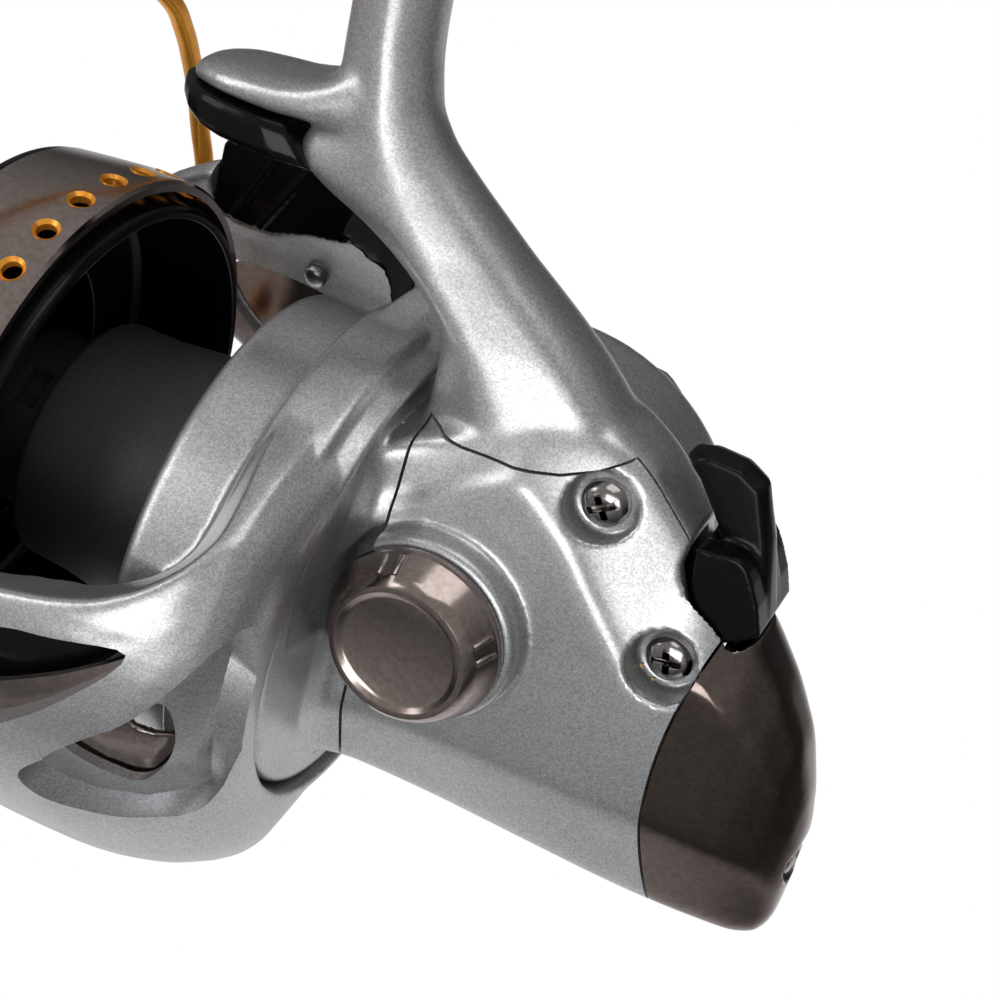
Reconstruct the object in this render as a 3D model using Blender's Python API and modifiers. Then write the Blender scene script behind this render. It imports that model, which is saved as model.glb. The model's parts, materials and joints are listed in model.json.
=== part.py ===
"""Long-cast fixed-spool fishing reel, modelled in millimetres and built in metres.

The spool axis runs along X with the spool to +X, the foot is up (+Z) and the
handle is on the -Y side. The origin is the middle of the foot's seat.
"""
import math

import bmesh
import bpy
from mathutils import Matrix, Vector

MM = 0.001

# Clearances
GAP = 0.3
SEAM = 0.4
RUN = 0.35

# Foot and stem
AXIS_DROP = 98.0
FOOT_LEN = 82.0
FOOT_WIDTH = 15.0
FOOT_THICK = 6.5
FOOT_TIP = 2.6
FOOT_FORWARD = -6.0
STEM_HALF = 6.0

# Body casing
BODY_SIDE = 11.5
BODY_FAR = 12.0
BODY_BOTTOM = -26.3
BODY_REAR = -70.0
KEEL_HALF = 6.5
FLANGE_R = 31.7
FLANGE_X = -22.6
FLANGE_T = 3.0
SPLIT_Y = 5.0
WALL = 2.6
REAR_END = -90.2
CASE_R = 28.5
CASE_FAR = 28.0

# Crank and drive
CRANK_X = -35.4
CRANK_Z = 6.4
DRIVE_SHAFT_R = 3.5
DRIVE_GEAR_R = 17.5
DRIVE_TEETH = 41
PINION_TEETH = 10
PINION_R = 4.6
PINION_NOSE_R = 3.8
SHAFT_R = 2.5
BEARING_R = 8.0
BEARING_T = 4.0
PINION_BEARING_X = -17.0
CLUTCH_X = PINION_BEARING_X + BEARING_T + 0.5
CLUTCH_R = 12.0
CLUTCH_T = 6.0
DOME_R = 22.0
DOME_X = -6.0
BOSS_R = 13.4
BOSS_TOP = 15.5
CAP_R = 12.2
CAP_FACE_R = 9.6
CAP_HEIGHT = 6.4
OSC_X = -56.0
OSC_Z = -3.0
OSC_TEETH = 40
OSC_PINION_TEETH = 18
OSC_Y = 4.2
OSC_T = 2.8
GUIDE_R = 1.5
GUIDE_Y = -2.4
GUIDE_Z = 5.9
SLIDER_LEN = 6.8
GUIDE_REAR = -80.6

# Screws and the anti-reverse lever
SCREW_HEAD_R = 3.2
SCREW_R = 1.6
RECESS_R = 4.7
POST_R = 4.2
TOP_SCREW = (-52.0, 30.5)
LOW_SCREW = (-66.0, 13.5)
TAIL_SCREW_Z = -12.0
TOP_FLOOR = BODY_SIDE - 3.8
LOW_FLOOR = BODY_SIDE - 5.0
TAIL_FLOOR = REAR_END + 2.6
LEVER_X = -69.5
LEVER_Z = 20.0
LEVER_HALF = 6.5
HOOK_HALF = 2.3
RIDGE_HALF = 0.6
TRUNNION_R = 1.4

# Rotor
ROTOR_REST = -15.0
RIM_X = -23.5
RIM_GAP = 0.9
RIM_T = 0.8
RIM_R = FLANGE_R + RIM_GAP
RING1_R = RIM_R + 0.4
RING_STEP = 3.5
RING2_R = RING1_R + RING_STEP
RING2_X = -11.1
RIVET_AT = (14.0, -4.0)
ARM_T = 5.2
ARM_CLEAR = 3.6
LINING_T = 2.1
LINING_GAP = 0.5
ARM_TIP = 46.5
ARM_FLARE = 80.0
NOSE_CLEAR = 1.9
INSERT_DEEP = 6.5
DRUM_R = 20.0
DRUM_TIP_R = 17.9
DRUM_END = 25.5
NECK_R = 12.8
NECK_LEN = 10.0
FRONT_WALL = 4.0

# Bail
BAIL_X = 38.0
BAIL_WIRE_R = 1.5
BAIL_PLATE_T = 3.0
ROLLER_R = 4.6
ROLLER_LEN = 5.0
ROLLER_AT = (2.0, 17.0)
TAB_NEAR = 20.0
TAB_FAR = 7.2

# Spool
SKIRT_R = 39.2
STROKE = 26.0
SKIRT_TAPER = 1.6
SKIRT_FRONT_R = SKIRT_R - SKIRT_TAPER
SKIRT_REAR = 24.3
SKIRT_FRONT = 41.5
SKIRT_T = 1.5
LINER_DROP = 3.1
LINER_R = SKIRT_R - LINER_DROP
LINER_REAR = 22.3
LINER_T = 1.7
HOLE_X = 28.2
HOLE_R = 1.35
HOLES = 32
ARBOR_R = 28.5
ARBOR_FRONT_R = 26.5
LIP_X = 78.0
LIP_R = 35.5
LIP_T = 3.2
DRAG_R = 15.0
KNOB_R = 17.5
KNOB_LEN = 13.0

# Handle
HANDLE_ANGLE = 184.0
HANDLE_LEN = 82.0
HANDLE_OUT = 60.0
HANDLE_BEND = 9.0
HANDLE_T = 5.0
SHANK_R = 7.0
GRIP_R = 15.5
GRIP_LEN = 38.0

# Outlines on the rotor's arms, as (x, z) seen from the side
WINDOW = [(-11.5, 20.8), (-0.3, 20.0), (5.2, 18.8), (16, 15.5), (26, 10.5), (31, 5), (30.5, 1.5), (26, -0.5),
          (14, -0.8), (8, 0.8), (3.5, 4.2), (-4.2, 11.6)]
POCKET = [(-23.0, 23.0), (-14.4, 13.0), (-3.5, 1.6), (1.1, -5.0), (-5.8, -8.0), (-16, -6.5), (-23.0, -2.0)]
POCKET_FLOOR = [(-26, -0.06), (-20, 0.08), (-18.5, 0.235), (-14, 0.475), (-8, 0.617), (4, 0.73)]
POCKET_HOLE = [(-3.4, 0.4), (-9.9, 7.4), (-17, 6.0), (-13.7, 0.2)]
PLATE = [(-7, 16.2), (-3.6, 12), (3.9, 4.9), (8.2, 1.25), (14.1, -0.35), (25.8, -0.05), (30, 1.8),
         (29.2, 4.0), (24, 4.2), (15, 4.6), (9.5, 6.6), (4.5, 10.2), (-2, 15.0)]
PANEL = [(10 + (x - 10) * 0.94, 8 + (z - 8) * 0.9) for x, z in WINDOW]
LINING_NEAR = [(2, 16.6), (2, 5.5), (8, 1), (26, -1), (32, 1.5), (29, 9), (18, 14.6)]
LINING_FAR = [(1, -8), (33, -8.2), (31, -11.2), (24, -15.2), (14, -17.4), (3, -17.4)]

# Sizes that follow from the ones above
ARM_R = SKIRT_R + ARM_CLEAR + LINING_T + LINING_GAP + ARM_T
NOSE_LOW = ARM_R + NOSE_CLEAR
NOSE_LIP = NOSE_LOW + INSERT_DEEP

SILVER = ((0.52, 0.53, 0.55), 0.38, 0.75)
GUNMETAL = ((0.17, 0.14, 0.13), 0.22, 0.9)
BLACK = ((0.015, 0.015, 0.016), 0.25, 0.0)
CHARCOAL = ((0.05, 0.05, 0.052), 0.5, 0.1)
GOLD = ((0.80, 0.45, 0.10), 0.25, 1.0)
STEEL = ((0.60, 0.60, 0.60), 0.3, 1.0)
DARK_STEEL = ((0.25, 0.24, 0.24), 0.25, 1.0)
BRASS = ((0.70, 0.55, 0.25), 0.35, 1.0)
CARBON = ((0.04, 0.04, 0.04), 0.7, 0.0)

for old in list(bpy.data.objects):
    bpy.data.objects.remove(old, do_unlink=True)

parts = bpy.data.collections.new("fixed_spool_reel")
cutters = bpy.data.collections.new("cutters")
bpy.context.scene.collection.children.link(parts)
bpy.context.scene.collection.children.link(cutters)


def material(name, look):
    """A plain Principled material in the piece's colour."""
    colour, rough, metal = look
    made = bpy.data.materials.new(name)
    made.use_nodes = True
    bsdf = made.node_tree.nodes["Principled BSDF"]
    bsdf.inputs["Base Color"].default_value = (*colour, 1.0)
    bsdf.inputs["Roughness"].default_value = rough
    bsdf.inputs["Metallic"].default_value = metal
    return made


def pivot(name, at, parent=None, turn=(0.0, 0.0, 0.0)):
    """An empty on a joint's axis."""
    made = bpy.data.objects.new(name, None)
    made.location = Vector(at) * MM
    made.rotation_euler = [math.radians(a) for a in turn]
    made.parent = parent
    parts.objects.link(made)
    return made


def finish(name, mesh, parent, look):
    """Turn a mesh into a named piece, or into a cutter when it has no look."""
    made = bpy.data.objects.new(name, mesh)
    made.parent = parent
    if look is None:
        made.hide_render = True
        made.display_type = "WIRE"
        cutters.objects.link(made)
    else:
        mesh.materials.append(material(name, look))
        parts.objects.link(made)
    return made


def to_mesh(name, bm):
    """Write a bmesh out with its faces pointing outward."""
    bmesh.ops.recalc_face_normals(bm, faces=bm.faces)
    mesh = bpy.data.meshes.new(name)
    bm.to_mesh(mesh)
    bm.free()
    mesh.shade_smooth()
    mesh.set_sharp_from_angle(angle=math.radians(32))
    return mesh


def turned(name, profile, parent, look, axis="X", at=(0, 0, 0), steps=28):
    """Revolve a closed (axial, radius) outline about an axis through at."""
    area = sum(a[0] * b[1] - b[0] * a[1] for a, b in zip(profile, profile[1:] + profile[:1]))
    outline = list(profile) if area > 0 else list(reversed(profile))
    place = {"X": lambda p: (p[0], p[1], 0), "Y": lambda p: (0, p[0], p[1])}[axis]
    mesh = bpy.data.meshes.new(name)
    points = [Vector(place(p)) * MM for p in outline]
    count = len(points)
    edges = [(i, (i + 1) % count) for i in range(count)]
    edges = [e for e in edges if outline[e[0]][1] > 1e-6 or outline[e[1]][1] > 1e-6]
    mesh.from_pydata(points, edges, [])
    made = finish(name, mesh, parent, look)
    made.location = Vector(at) * MM
    if look is None:
        # A cutter is turned a little so that its facets never line up with the piece's own
        made.rotation_euler["XY".index(axis)] = 0.011 + 0.0037 * len(cutters.objects)
    screw = made.modifiers.new("turn", "SCREW")
    screw.axis = axis
    screw.steps = steps
    screw.render_steps = steps
    screw.use_merge_vertices = True
    screw.merge_threshold = 0.00001
    screw.use_smooth_shade = True
    return made


def prism(name, outline, low, high, parent, look, axis="Y"):
    """Extrude an (x, z) or (y, z) outline between two planes along an axis."""
    bm = bmesh.new()
    place = {"Y": lambda u, v, w: (u, w, v), "X": lambda u, v, w: (w, u, v)}[axis]
    verts = [bm.verts.new(Vector(place(u, v, low)) * MM) for u, v in outline]
    face = bm.faces.new(verts)
    moved = bmesh.ops.extrude_face_region(bm, geom=[face])["geom"]
    shift = Vector(place(0, 0, high - low)) * MM
    bmesh.ops.translate(bm, vec=shift, verts=[v for v in moved if isinstance(v, bmesh.types.BMVert)])
    return finish(name, to_mesh(name, bm), parent, look)


def loft(name, rings, parent, look):
    """Skin a run of like-counted rings and close both ends."""
    bm = bmesh.new()
    loops = [[bm.verts.new(Vector(p) * MM) for p in ring] for ring in rings]
    for one, two in zip(loops, loops[1:]):
        for i in range(len(one)):
            j = (i + 1) % len(one)
            bm.faces.new((one[i], one[j], two[j], two[i]))
    bm.faces.new(list(reversed(loops[0])))
    bm.faces.new(loops[-1])
    return finish(name, to_mesh(name, bm), parent, look)


def rod(name, radius, start, end, parent, look, sides=16):
    """A plain round bar between two points."""
    a, b = Vector(start) * MM, Vector(end) * MM
    bm = bmesh.new()
    turn = (b - a).to_track_quat("Z", "Y").to_matrix().to_4x4()
    place = Matrix.Translation((a + b) / 2) @ turn
    bmesh.ops.create_cone(bm, cap_ends=True, segments=sides, radius1=radius * MM,
                          radius2=radius * MM, depth=(b - a).length, matrix=place)
    return finish(name, to_mesh(name, bm), parent, look)


def wire(name, points, radius, parent, look, sides=2):
    """A round wire along a smooth line through the points."""
    curve = bpy.data.curves.new(name, "CURVE")
    curve.dimensions = "3D"
    curve.bevel_depth = radius * MM
    curve.bevel_resolution = sides
    curve.use_fill_caps = True
    spline = curve.splines.new("POLY")
    line = smooth_line(points, 3)
    spline.points.add(len(line) - 1)
    for spot, p in zip(spline.points, line):
        spot.co = (*(Vector(p) * MM), 1.0)
    made = bpy.data.objects.new(name, curve)
    curve.materials.append(material(name, look))
    made.parent = parent
    parts.objects.link(made)
    return made


def smooth_line(points, cuts):
    """Points along a Catmull-Rom line through the given points."""
    pts = [Vector(p) for p in points]
    pts = [2 * pts[0] - pts[1]] + pts + [2 * pts[-1] - pts[-2]]
    line = []
    for a, b, c, d in zip(pts, pts[1:], pts[2:], pts[3:]):
        for k in range(cuts):
            t = k / cuts
            line.append(0.5 * (2 * b + (c - a) * t + (2 * a - 5 * b + 4 * c - d) * t ** 2
                               + (3 * b - a - 3 * c + d) * t ** 3))
    return line + [pts[-2]]


def boolean(target, tool, how="DIFFERENCE"):
    """Cut, join or trim one piece with another."""
    step = target.modifiers.new(how.lower(), "BOOLEAN")
    step.operation = how
    step.solver = "EXACT"
    step.object = tool
    return step


def mirrored(outline):
    """Close a half outline given from +Y to its mirror at -Y."""
    return outline + [(-u, v) for u, v in reversed(outline)]


def arc(radius, start, end, count):
    """Points on an arc about the origin, angles in degrees."""
    step = (end - start) / (count - 1)
    return [(radius * math.cos(math.radians(start + i * step)),
             radius * math.sin(math.radians(start + i * step))) for i in range(count)]


spool_axis = pivot("spool_axis", (-FOOT_FORWARD, 0, -AXIS_DROP))
rotor_pivot = pivot("rotor_pivot", (0, 0, 0), spool_axis, (ROTOR_REST, 0, 0))
bail_pivot = pivot("bail_pivot", (BAIL_X, 0, 0), rotor_pivot)
shaft_pivot = pivot("shaft_pivot", (0, 0, 0), spool_axis)
crank_pivot = pivot("crank_pivot", (CRANK_X, 0, CRANK_Z), spool_axis)


def casing_rings(inset, first, last):
    """Cross-sections of the gear casing between two X planes, drawn in by inset."""
    # x, near side, far side, top, side top, side bottom, bottom, top half width, keel half width
    plan = [
        (-19.0, 26.0, 27.0, 27.0, 15.0, -14.0, BODY_BOTTOM - 1.0, 14.0, 12.0),
        (FLANGE_X, 17.0, 20.0, 28.0, 17.0, -13.5, BODY_BOTTOM - 0.6, 13.0, 9.5),
        (-24.0, BODY_SIDE + 1.5, 16.0, 29.0, 18.5, -13.0, BODY_BOTTOM - 0.4, 12.0, KEEL_HALF + 1.6),
        (-28.0, BODY_SIDE + 0.6, BODY_FAR + 2, 31.0, 20.5, -12.3, BODY_BOTTOM, 10.6, KEEL_HALF + 0.8),
        (-34.0, BODY_SIDE + 0.2, BODY_FAR + 1, 34.0, 23.0, -11.5, BODY_BOTTOM, 9.5, KEEL_HALF + 0.3),
        (-42.0, BODY_SIDE, BODY_FAR, 38.0, 27.0, -11.0, BODY_BOTTOM, 8.0, KEEL_HALF),
        (-50.0, BODY_SIDE, BODY_FAR, 39.5, 29.5, -10.5, BODY_BOTTOM, 6.5, KEEL_HALF),
        (-56.0, BODY_SIDE, BODY_FAR, 36.5, 28.0, -10.0, BODY_BOTTOM, 6.0, KEEL_HALF),
        (-64.0, BODY_SIDE, BODY_FAR, 29.5, 22.0, -9.5, BODY_BOTTOM, 5.8, KEEL_HALF),
        (BODY_REAR, BODY_SIDE - 0.3, BODY_FAR - 0.8, 24.0, 17.0, -9.0, BODY_BOTTOM, 5.5, KEEL_HALF - 0.2),
        (BODY_REAR - 6, BODY_SIDE - 1.2, BODY_FAR - 1.8, 18.5, 11.5, -9.5, BODY_BOTTOM, 5.0, KEEL_HALF - 0.7),
        (BODY_REAR - 11, BODY_SIDE - 2.6, BODY_FAR - 3.2, 13.0, 6.0, -10.5, BODY_BOTTOM, 4.4,
         KEEL_HALF - 1.4),
        (BODY_REAR - 15.5, BODY_SIDE - 4.6, BODY_FAR - 5.2, 6.5, 0.0, -12.0, BODY_BOTTOM, 3.6,
         KEEL_HALF - 2.2),
        (BODY_REAR - 18.5, BODY_SIDE - 6.6, BODY_FAR - 7.2, -1.0, -6.0, -14.5, BODY_BOTTOM + 0.8, 2.6,
         KEEL_HALF - 3.2),
        (REAR_END, BODY_SIDE - 8.6, BODY_FAR - 9.2, -7.5, -10.0, -16.5, BODY_BOTTOM + 3.5, 1.6,
         KEEL_HALF - 4.6),
    ]

    def at(x):
        for a, b in zip(plan, plan[1:]):
            if b[0] <= x <= a[0]:
                t = (x - a[0]) / (b[0] - a[0])
                return (x,) + tuple(u + (v - u) * t for u, v in zip(a[1:], b[1:]))
        return plan[-1]

    stations = [first] + [r[0] for r in plan if last < r[0] < first] + [last]
    rings = []
    for x in stations:
        _, near, far, top, side_top, side_low, low, top_half, keel = at(x)
        near, far, top, low = near - inset, far - inset, top - inset, low + inset
        top_half, keel = max(top_half - inset * 0.6, 0.8), max(keel - inset * 0.6, 0.8)
        half = [(top_half * 0.55, top), (top_half, top - 0.8), (near - 0.9, side_top + 1.6), (near, side_top),
                (near, side_low), (near - 0.5, side_low - 2.2), (keel + 0.4, low + 1.6), (keel - 1.4, low)]
        other = [(-(y - near + far) if y > keel + 1.0 and y > top_half + 0.1 else -y, z)
                 for y, z in reversed(half)]
        rings.append([(x, y, z) for y, z in half + other])
    return rings


def rear_edge(z):
    """The bowed line where the tail cover meets the casing."""
    return -69.3 - 3.6 * ((z - 1.0) / 23.0) ** 2


def tail_mask(name, shift):
    """Everything behind the bowed line, moved by shift along X."""
    line = [(rear_edge(z) + shift, z) for z in range(-34, 43, 4)]
    return prism(name, [(-120, -34)] + line + [(-120, 42)], -60, 60, spool_axis, None)


def seam_mask(name, grow):
    """The side cover's share of the casing, grown by grow on every side."""
    line = [(-26.6 + grow, -40), (-26.6 + grow, 31.2 + grow), (-33, 31.0 + grow), (-46, 32.8 + grow),
            (-53.5, 37.0 + grow), (-56, 46), (-84, 46), (-84, -40)]
    return prism(name, line, SPLIT_Y - grow, 60, spool_axis, None)


def lever_rings():
    """Upright slices of the anti-reverse lever: a ridged hook that spreads into a saddle."""
    foot = [(-74.9, 22.2), (-72, 19.6), (-71, 18), (-69.2, 17.8), (-67.4, 20.5), (-65.3, 24.5), (-64.7, 27.5)]
    saddle = [(-64.5, 29.6), (-67.0, 29.9), (-67.6, 30.1), (-68.4, 30.3), (-69.2, 30.5), (-70.0, 30.4),
              (-70.8, 30.0), (-71.6, 29.2), (-72.6, 27.8), (-74.2, 25.0)] + foot
    blade = [(-64.4, 28.4), (-66.8, 28.2), (-67.3, 29.0), (-61.6, 36.2), (-59.9, 37.6), (-60.4, 38.8),
             (-61.6, 39.4), (-65.8, 39.4), (-68.6, 38.0), (-71.8, 31.5)] + foot
    ridge = [(-64.4, 28.4), (-66.6, 27.6), (-66.9, 28.4), (-60.4, 36.2), (-58.5, 37.8), (-59.2, 39.4),
             (-60.6, 39.8), (-65.6, 40.0), (-69.3, 38.5), (-72.3, 31.5)] + foot
    slices = [(LEVER_HALF, saddle), (HOOK_HALF, blade), (RIDGE_HALF, ridge), (-RIDGE_HALF, ridge),
              (-HOOK_HALF, blade), (-LEVER_HALF, saddle)]
    return [[(x - LEVER_X, y, z - LEVER_Z) for x, z in line] for y, line in slices]


lever_pivot = pivot("lever_pivot", (LEVER_X, 0, LEVER_Z), spool_axis)


def stem_rings():
    """Level sections of the stem from the casing up to the foot."""
    # z, front, crease, rear, half thickness
    plan = [
        (26.0, -23.5, -40.0, -58.0, 9.6), (34.0, -22.0, -35.0, -54.5, 9.4), (40.0, -19.5, -31.0, -49.5, 9.0),
        (44.0, -16.2, -27.3, -45.0, 8.6), (47.5, -11.0, -23.6, -40.3, 8.1), (50.0, -5.5, -21.0, -36.6, 7.8),
        (52.0, -0.5, -19.0, -33.6, 7.5), (53.4, 2.2, -18.0, -31.6, 7.4), (56.0, 1.3, -15.8, -28.1, 7.1),
        (59.0, 0.2, -13.5, -24.0, 6.8), (63.0, -3.0, -11.2, -19.0, 6.5), (67.0, -2.8, -10.0, -16.0, 6.2),
        (74.0, -2.4, -9.0, -14.4, STEM_HALF), (84.0, -2.0, -8.4, -13.8, STEM_HALF),
        (AXIS_DROP - FOOT_THICK + 1.0, 0.0, -7.5, -14.5, STEM_HALF + 0.3),
    ]
    rings = []
    for z, front, crease, rear, half in plan:
        side = [(front, half * 0.36), (front - 1.4, half * 0.62), (crease, half), (rear + 2.6, half * 0.72),
                (rear + 0.5, half * 0.42), (rear, half * 0.2)]
        ring = side + [(x, -y) for x, y in reversed(side)]
        rings.append([(x, y, z) for x, y in ring])
    return rings


def foot_rings():
    """Sections of the foot from its back tip to its front tip."""
    low = AXIS_DROP - FOOT_THICK
    back, front = FOOT_FORWARD - FOOT_LEN / 2, FOOT_FORWARD + FOOT_LEN / 2
    half = FOOT_WIDTH / 2
    plan = [(back, half * 0.45, AXIS_DROP - FOOT_TIP), (back + 4, half * 0.8, AXIS_DROP - FOOT_TIP - 0.3),
            (back + 16, half, AXIS_DROP - FOOT_TIP - 1.2), (-20.0, half, low), (6.0, half, low),
            (front - 16, half, AXIS_DROP - FOOT_TIP - 1.2), (front - 4, half * 0.8,
                                                            AXIS_DROP - FOOT_TIP - 0.3),
            (front, half * 0.45, AXIS_DROP - FOOT_TIP)]
    rings = []
    for x, y, z in plan:
        deep = AXIS_DROP - z
        side = [(y, AXIS_DROP), (y, AXIS_DROP - deep * 0.45), (y * 0.62, z)]
        rings.append([(x, u, v) for u, v in mirrored(side)])
    return rings


def nose_rings(lip, tuck):
    """Sections of the finger rest in front of the stem; lip is its lower face."""
    plan = [(-8.0, 5.8, 10.5), (-2.0, 6.2, 9.0), (3.0, 6.6, 7.2), (9.0, 6.9, 6.0), (13.0, 6.3, 5.0),
            (15.6, 4.6, 3.6),
            (16.8, 2.4, 2.2)]
    rings = []
    for x, half, rise in plan:
        top = lip + rise
        dip = 0.8 if x > 0 else 0.0
        side = [(half * 0.5, top - dip), (half * 0.85, top), (half, top - 1.4), (half - tuck, lip)]
        rings.append([(x, u, v) for u, v in mirrored(side)])
    return rings


def insert_rings():
    """Sections of the dark insert under the finger rest."""
    plan = [(1.0, 5.6, 0.0), (5.0, 6.6, 0.0), (10.0, 6.9, 0.0), (14.0, 6.5, 0.2), (16.8, 4.9, 0.6),
            (18.3, 2.6, 1.4)]
    rings = []
    for x, half, rise in plan:
        back = 2.2 if x < 2 else 0.0
        side = [(half, NOSE_LIP - GAP), (half + 0.25, NOSE_LIP - 2.2), (half - 0.3, NOSE_LOW + 0.8 + rise),
                (half - 1.4, NOSE_LOW + rise)]
        rings.append([(x - back * (v - NOSE_LOW) / 6.0 + back, u, v) for u, v in mirrored(side)])
    return rings


# Frame: flange, casing, gear bulge, stem, foot and finger rest in one casting
frame = turned("body_frame", [(FLANGE_X, 0), (FLANGE_X, FLANGE_R - 0.8), (FLANGE_X + 0.8, FLANGE_R),
                              (FLANGE_X + FLANGE_T, FLANGE_R), (FLANGE_X + FLANGE_T, DOME_R + 2),
                              (FLANGE_X + FLANGE_T + 2, DOME_R), (DOME_X - 1.5, DOME_R),
                              (DOME_X, DOME_R - 1.5), (DOME_X, 0)], spool_axis, SILVER, steps=36)
boolean(frame, loft("casing_block", casing_rings(0.0, FLANGE_X + 1.3, REAR_END), spool_axis, None), "UNION")
boolean(frame, turned("case_bulge", [(-CASE_FAR, 0), (-CASE_FAR, CASE_R - 1.5), (-CASE_FAR + 1.5, CASE_R),
                                     (-6, CASE_R), (-6, 0)], spool_axis, None, "Y",
                      (CRANK_X, 0, CRANK_Z), 40), "UNION")
boolean(frame, loft("stem_block", stem_rings(), spool_axis, None), "UNION")
boolean(frame, loft("foot_block", foot_rings(), spool_axis, None), "UNION")
boolean(frame, loft("nose_block", nose_rings(NOSE_LIP, 0.6), spool_axis, None), "UNION")
rotor_sweep = turned("rotor_sweep", [(RIM_X - RIM_GAP, FLANGE_R + 0.02),
                                     (FLANGE_X + FLANGE_T, FLANGE_R + 0.02),
                                     (FLANGE_X + FLANGE_T, DOME_R + 2.02),
                                     (FLANGE_X + FLANGE_T + 2, DOME_R + 0.02), (60, DOME_R + 0.02),
                                     (60, ARM_R + 1.6), (-4, ARM_R + 1.2), (-10, ARM_R), (-15, ARM_R - 2),
                                     (-19, ARM_R - 4.4), (-22, ARM_R - 7.4),
                                     (RIM_X - RIM_GAP, ARM_R - 9)], spool_axis, None, steps=36)
boolean(frame, rotor_sweep)
boolean(frame, seam_mask("frame_seam", SEAM / 2))
boolean(frame, tail_mask("frame_tail", SEAM / 2))
hollow = loft("frame_hollow", casing_rings(WALL, -31.0, -76.0), spool_axis, None)
for number, (x, z) in enumerate((TOP_SCREW, LOW_SCREW)):
    boolean(hollow, rod("screw_post_%d" % number, POST_R, (x, -25, z), (x, 25, z), spool_axis, None))
boolean(hollow, rod("tail_post", POST_R, (-95, 0, TAIL_SCREW_Z), (-60, 0, TAIL_SCREW_Z), spool_axis, None))
boolean(hollow, prism("tail_web", [(-95, TAIL_SCREW_Z), (-60.5, TAIL_SCREW_Z), (-60.5, -40), (-95, -40)],
                      -1.6, 1.6, spool_axis, None))
boolean(frame, hollow)
OSC_SPAN = math.hypot(OSC_X - CRANK_X, OSC_Z - CRANK_Z)
OSC_PINION_R = OSC_SPAN * OSC_PINION_TEETH / (OSC_TEETH + OSC_PINION_TEETH)
OSC_R = OSC_SPAN - OSC_PINION_R
crank_spot = (CRANK_X, 0, CRANK_Z)
osc_top = OSC_Y + OSC_T + 0.6
boolean(frame, turned("gear_room", [(-13.5, 0), (-13.5, DRIVE_GEAR_R + 1), (SPLIT_Y, DRIVE_GEAR_R + 1),
                                    (SPLIT_Y, 0)], spool_axis, None, "Y", crank_spot))
osc_rooms = [turned("osc_pinion_room", [(0, 0), (0, OSC_PINION_R + 1), (osc_top, OSC_PINION_R + 1),
                                        (osc_top, 0)], spool_axis, None, "Y", crank_spot),
             turned("osc_gear_room", [(OSC_Y - 0.8, 0), (OSC_Y - 0.8, OSC_R + 0.7),
                                      (osc_top, OSC_R + 0.7), (osc_top, 0)], spool_axis, None, "Y",
                    (OSC_X, 0, OSC_Z))]
boss_room = turned("boss_room", [(BODY_SIDE - 3 - GAP, 0), (BODY_SIDE - 3 - GAP, BOSS_R + SEAM),
                                 (BOSS_TOP + 10, BOSS_R + SEAM), (BOSS_TOP + 10, 0)], spool_axis, None,
                   "Y", crank_spot)
for room in osc_rooms + [boss_room]:
    boolean(frame, room)
bearing_room = BEARING_R + GAP
boolean(frame, turned("pinion_room", [(-33, 0), (-33, PINION_R + 0.5),
                                      (PINION_BEARING_X - GAP, PINION_R + 0.5),
                                      (PINION_BEARING_X - GAP, bearing_room),
                                      (CLUTCH_X - GAP, bearing_room), (CLUTCH_X - GAP, CLUTCH_R + GAP),
                                      (2, CLUTCH_R + GAP), (2, 0)], spool_axis, None))
boolean(frame, turned("crank_room", [(-CASE_FAR - 2, 0), (-CASE_FAR - 2, bearing_room),
                                     (-CASE_FAR + BEARING_T + GAP, bearing_room),
                                     (-CASE_FAR + BEARING_T + GAP, DRIVE_SHAFT_R + RUN),
                                     (-10, DRIVE_SHAFT_R + RUN), (-10, 0)], spool_axis, None, "Y",
                      (CRANK_X, 0, CRANK_Z)))
for number, (x, z) in enumerate((TOP_SCREW, LOW_SCREW)):
    boolean(frame, rod("post_hole_%d" % number, SCREW_R + GAP, (x, -5, z), (x, 20, z), spool_axis, None))
boolean(frame, rod("tail_hole", SCREW_R + GAP, (-95, 0, TAIL_SCREW_Z), (-62, 0, TAIL_SCREW_Z), spool_axis,
                   None))
lever_slot = prism("lever_slot", [(-63.4, 46), (-63.4, 26), (-65.2, 22.2), (-67.8, 18.6), (-69.5, 16.9),
                                  (-72.5, 17.2), (-78.5, 18.0), (-78.5, 46)],
                   -LEVER_HALF - 0.4, LEVER_HALF + 0.4, spool_axis, None)
boolean(frame, lever_slot)
lever_pin_hole = rod("lever_pin_hole", TRUNNION_R + RUN, (LEVER_X, -8.2, LEVER_Z), (LEVER_X, 8.2, LEVER_Z),
                     spool_axis, None)
boolean(frame, lever_pin_hole)

# Side cover with its bearing boss and two screw recesses
cover = loft("side_cover", casing_rings(0.0, FLANGE_X + 1.3, REAR_END), spool_axis, SILVER)
boolean(cover, seam_mask("cover_share", -SEAM / 2), "INTERSECT")
boolean(cover, tail_mask("cover_tail", SEAM / 2))
cover_hollow = loft("cover_hollow", casing_rings(WALL, -31.0, -76.0), spool_axis, None)
for number, (x, z) in enumerate((TOP_SCREW, LOW_SCREW)):
    boolean(cover_hollow, rod("recess_boss_%d" % number, RECESS_R + 1.4, (x, -25, z), (x, 25, z),
                              spool_axis, None))
boolean(cover, cover_hollow)
for room in osc_rooms:
    boolean(cover, room)
boolean(cover, turned("cover_boss", [(BODY_SIDE - 3, 0), (BODY_SIDE - 3, BOSS_R), (BOSS_TOP - 0.8, BOSS_R),
                                     (BOSS_TOP, BOSS_R - 0.8), (BOSS_TOP, 0)], spool_axis, None, "Y",
                      (CRANK_X, 0, CRANK_Z), 28), "UNION")
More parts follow.
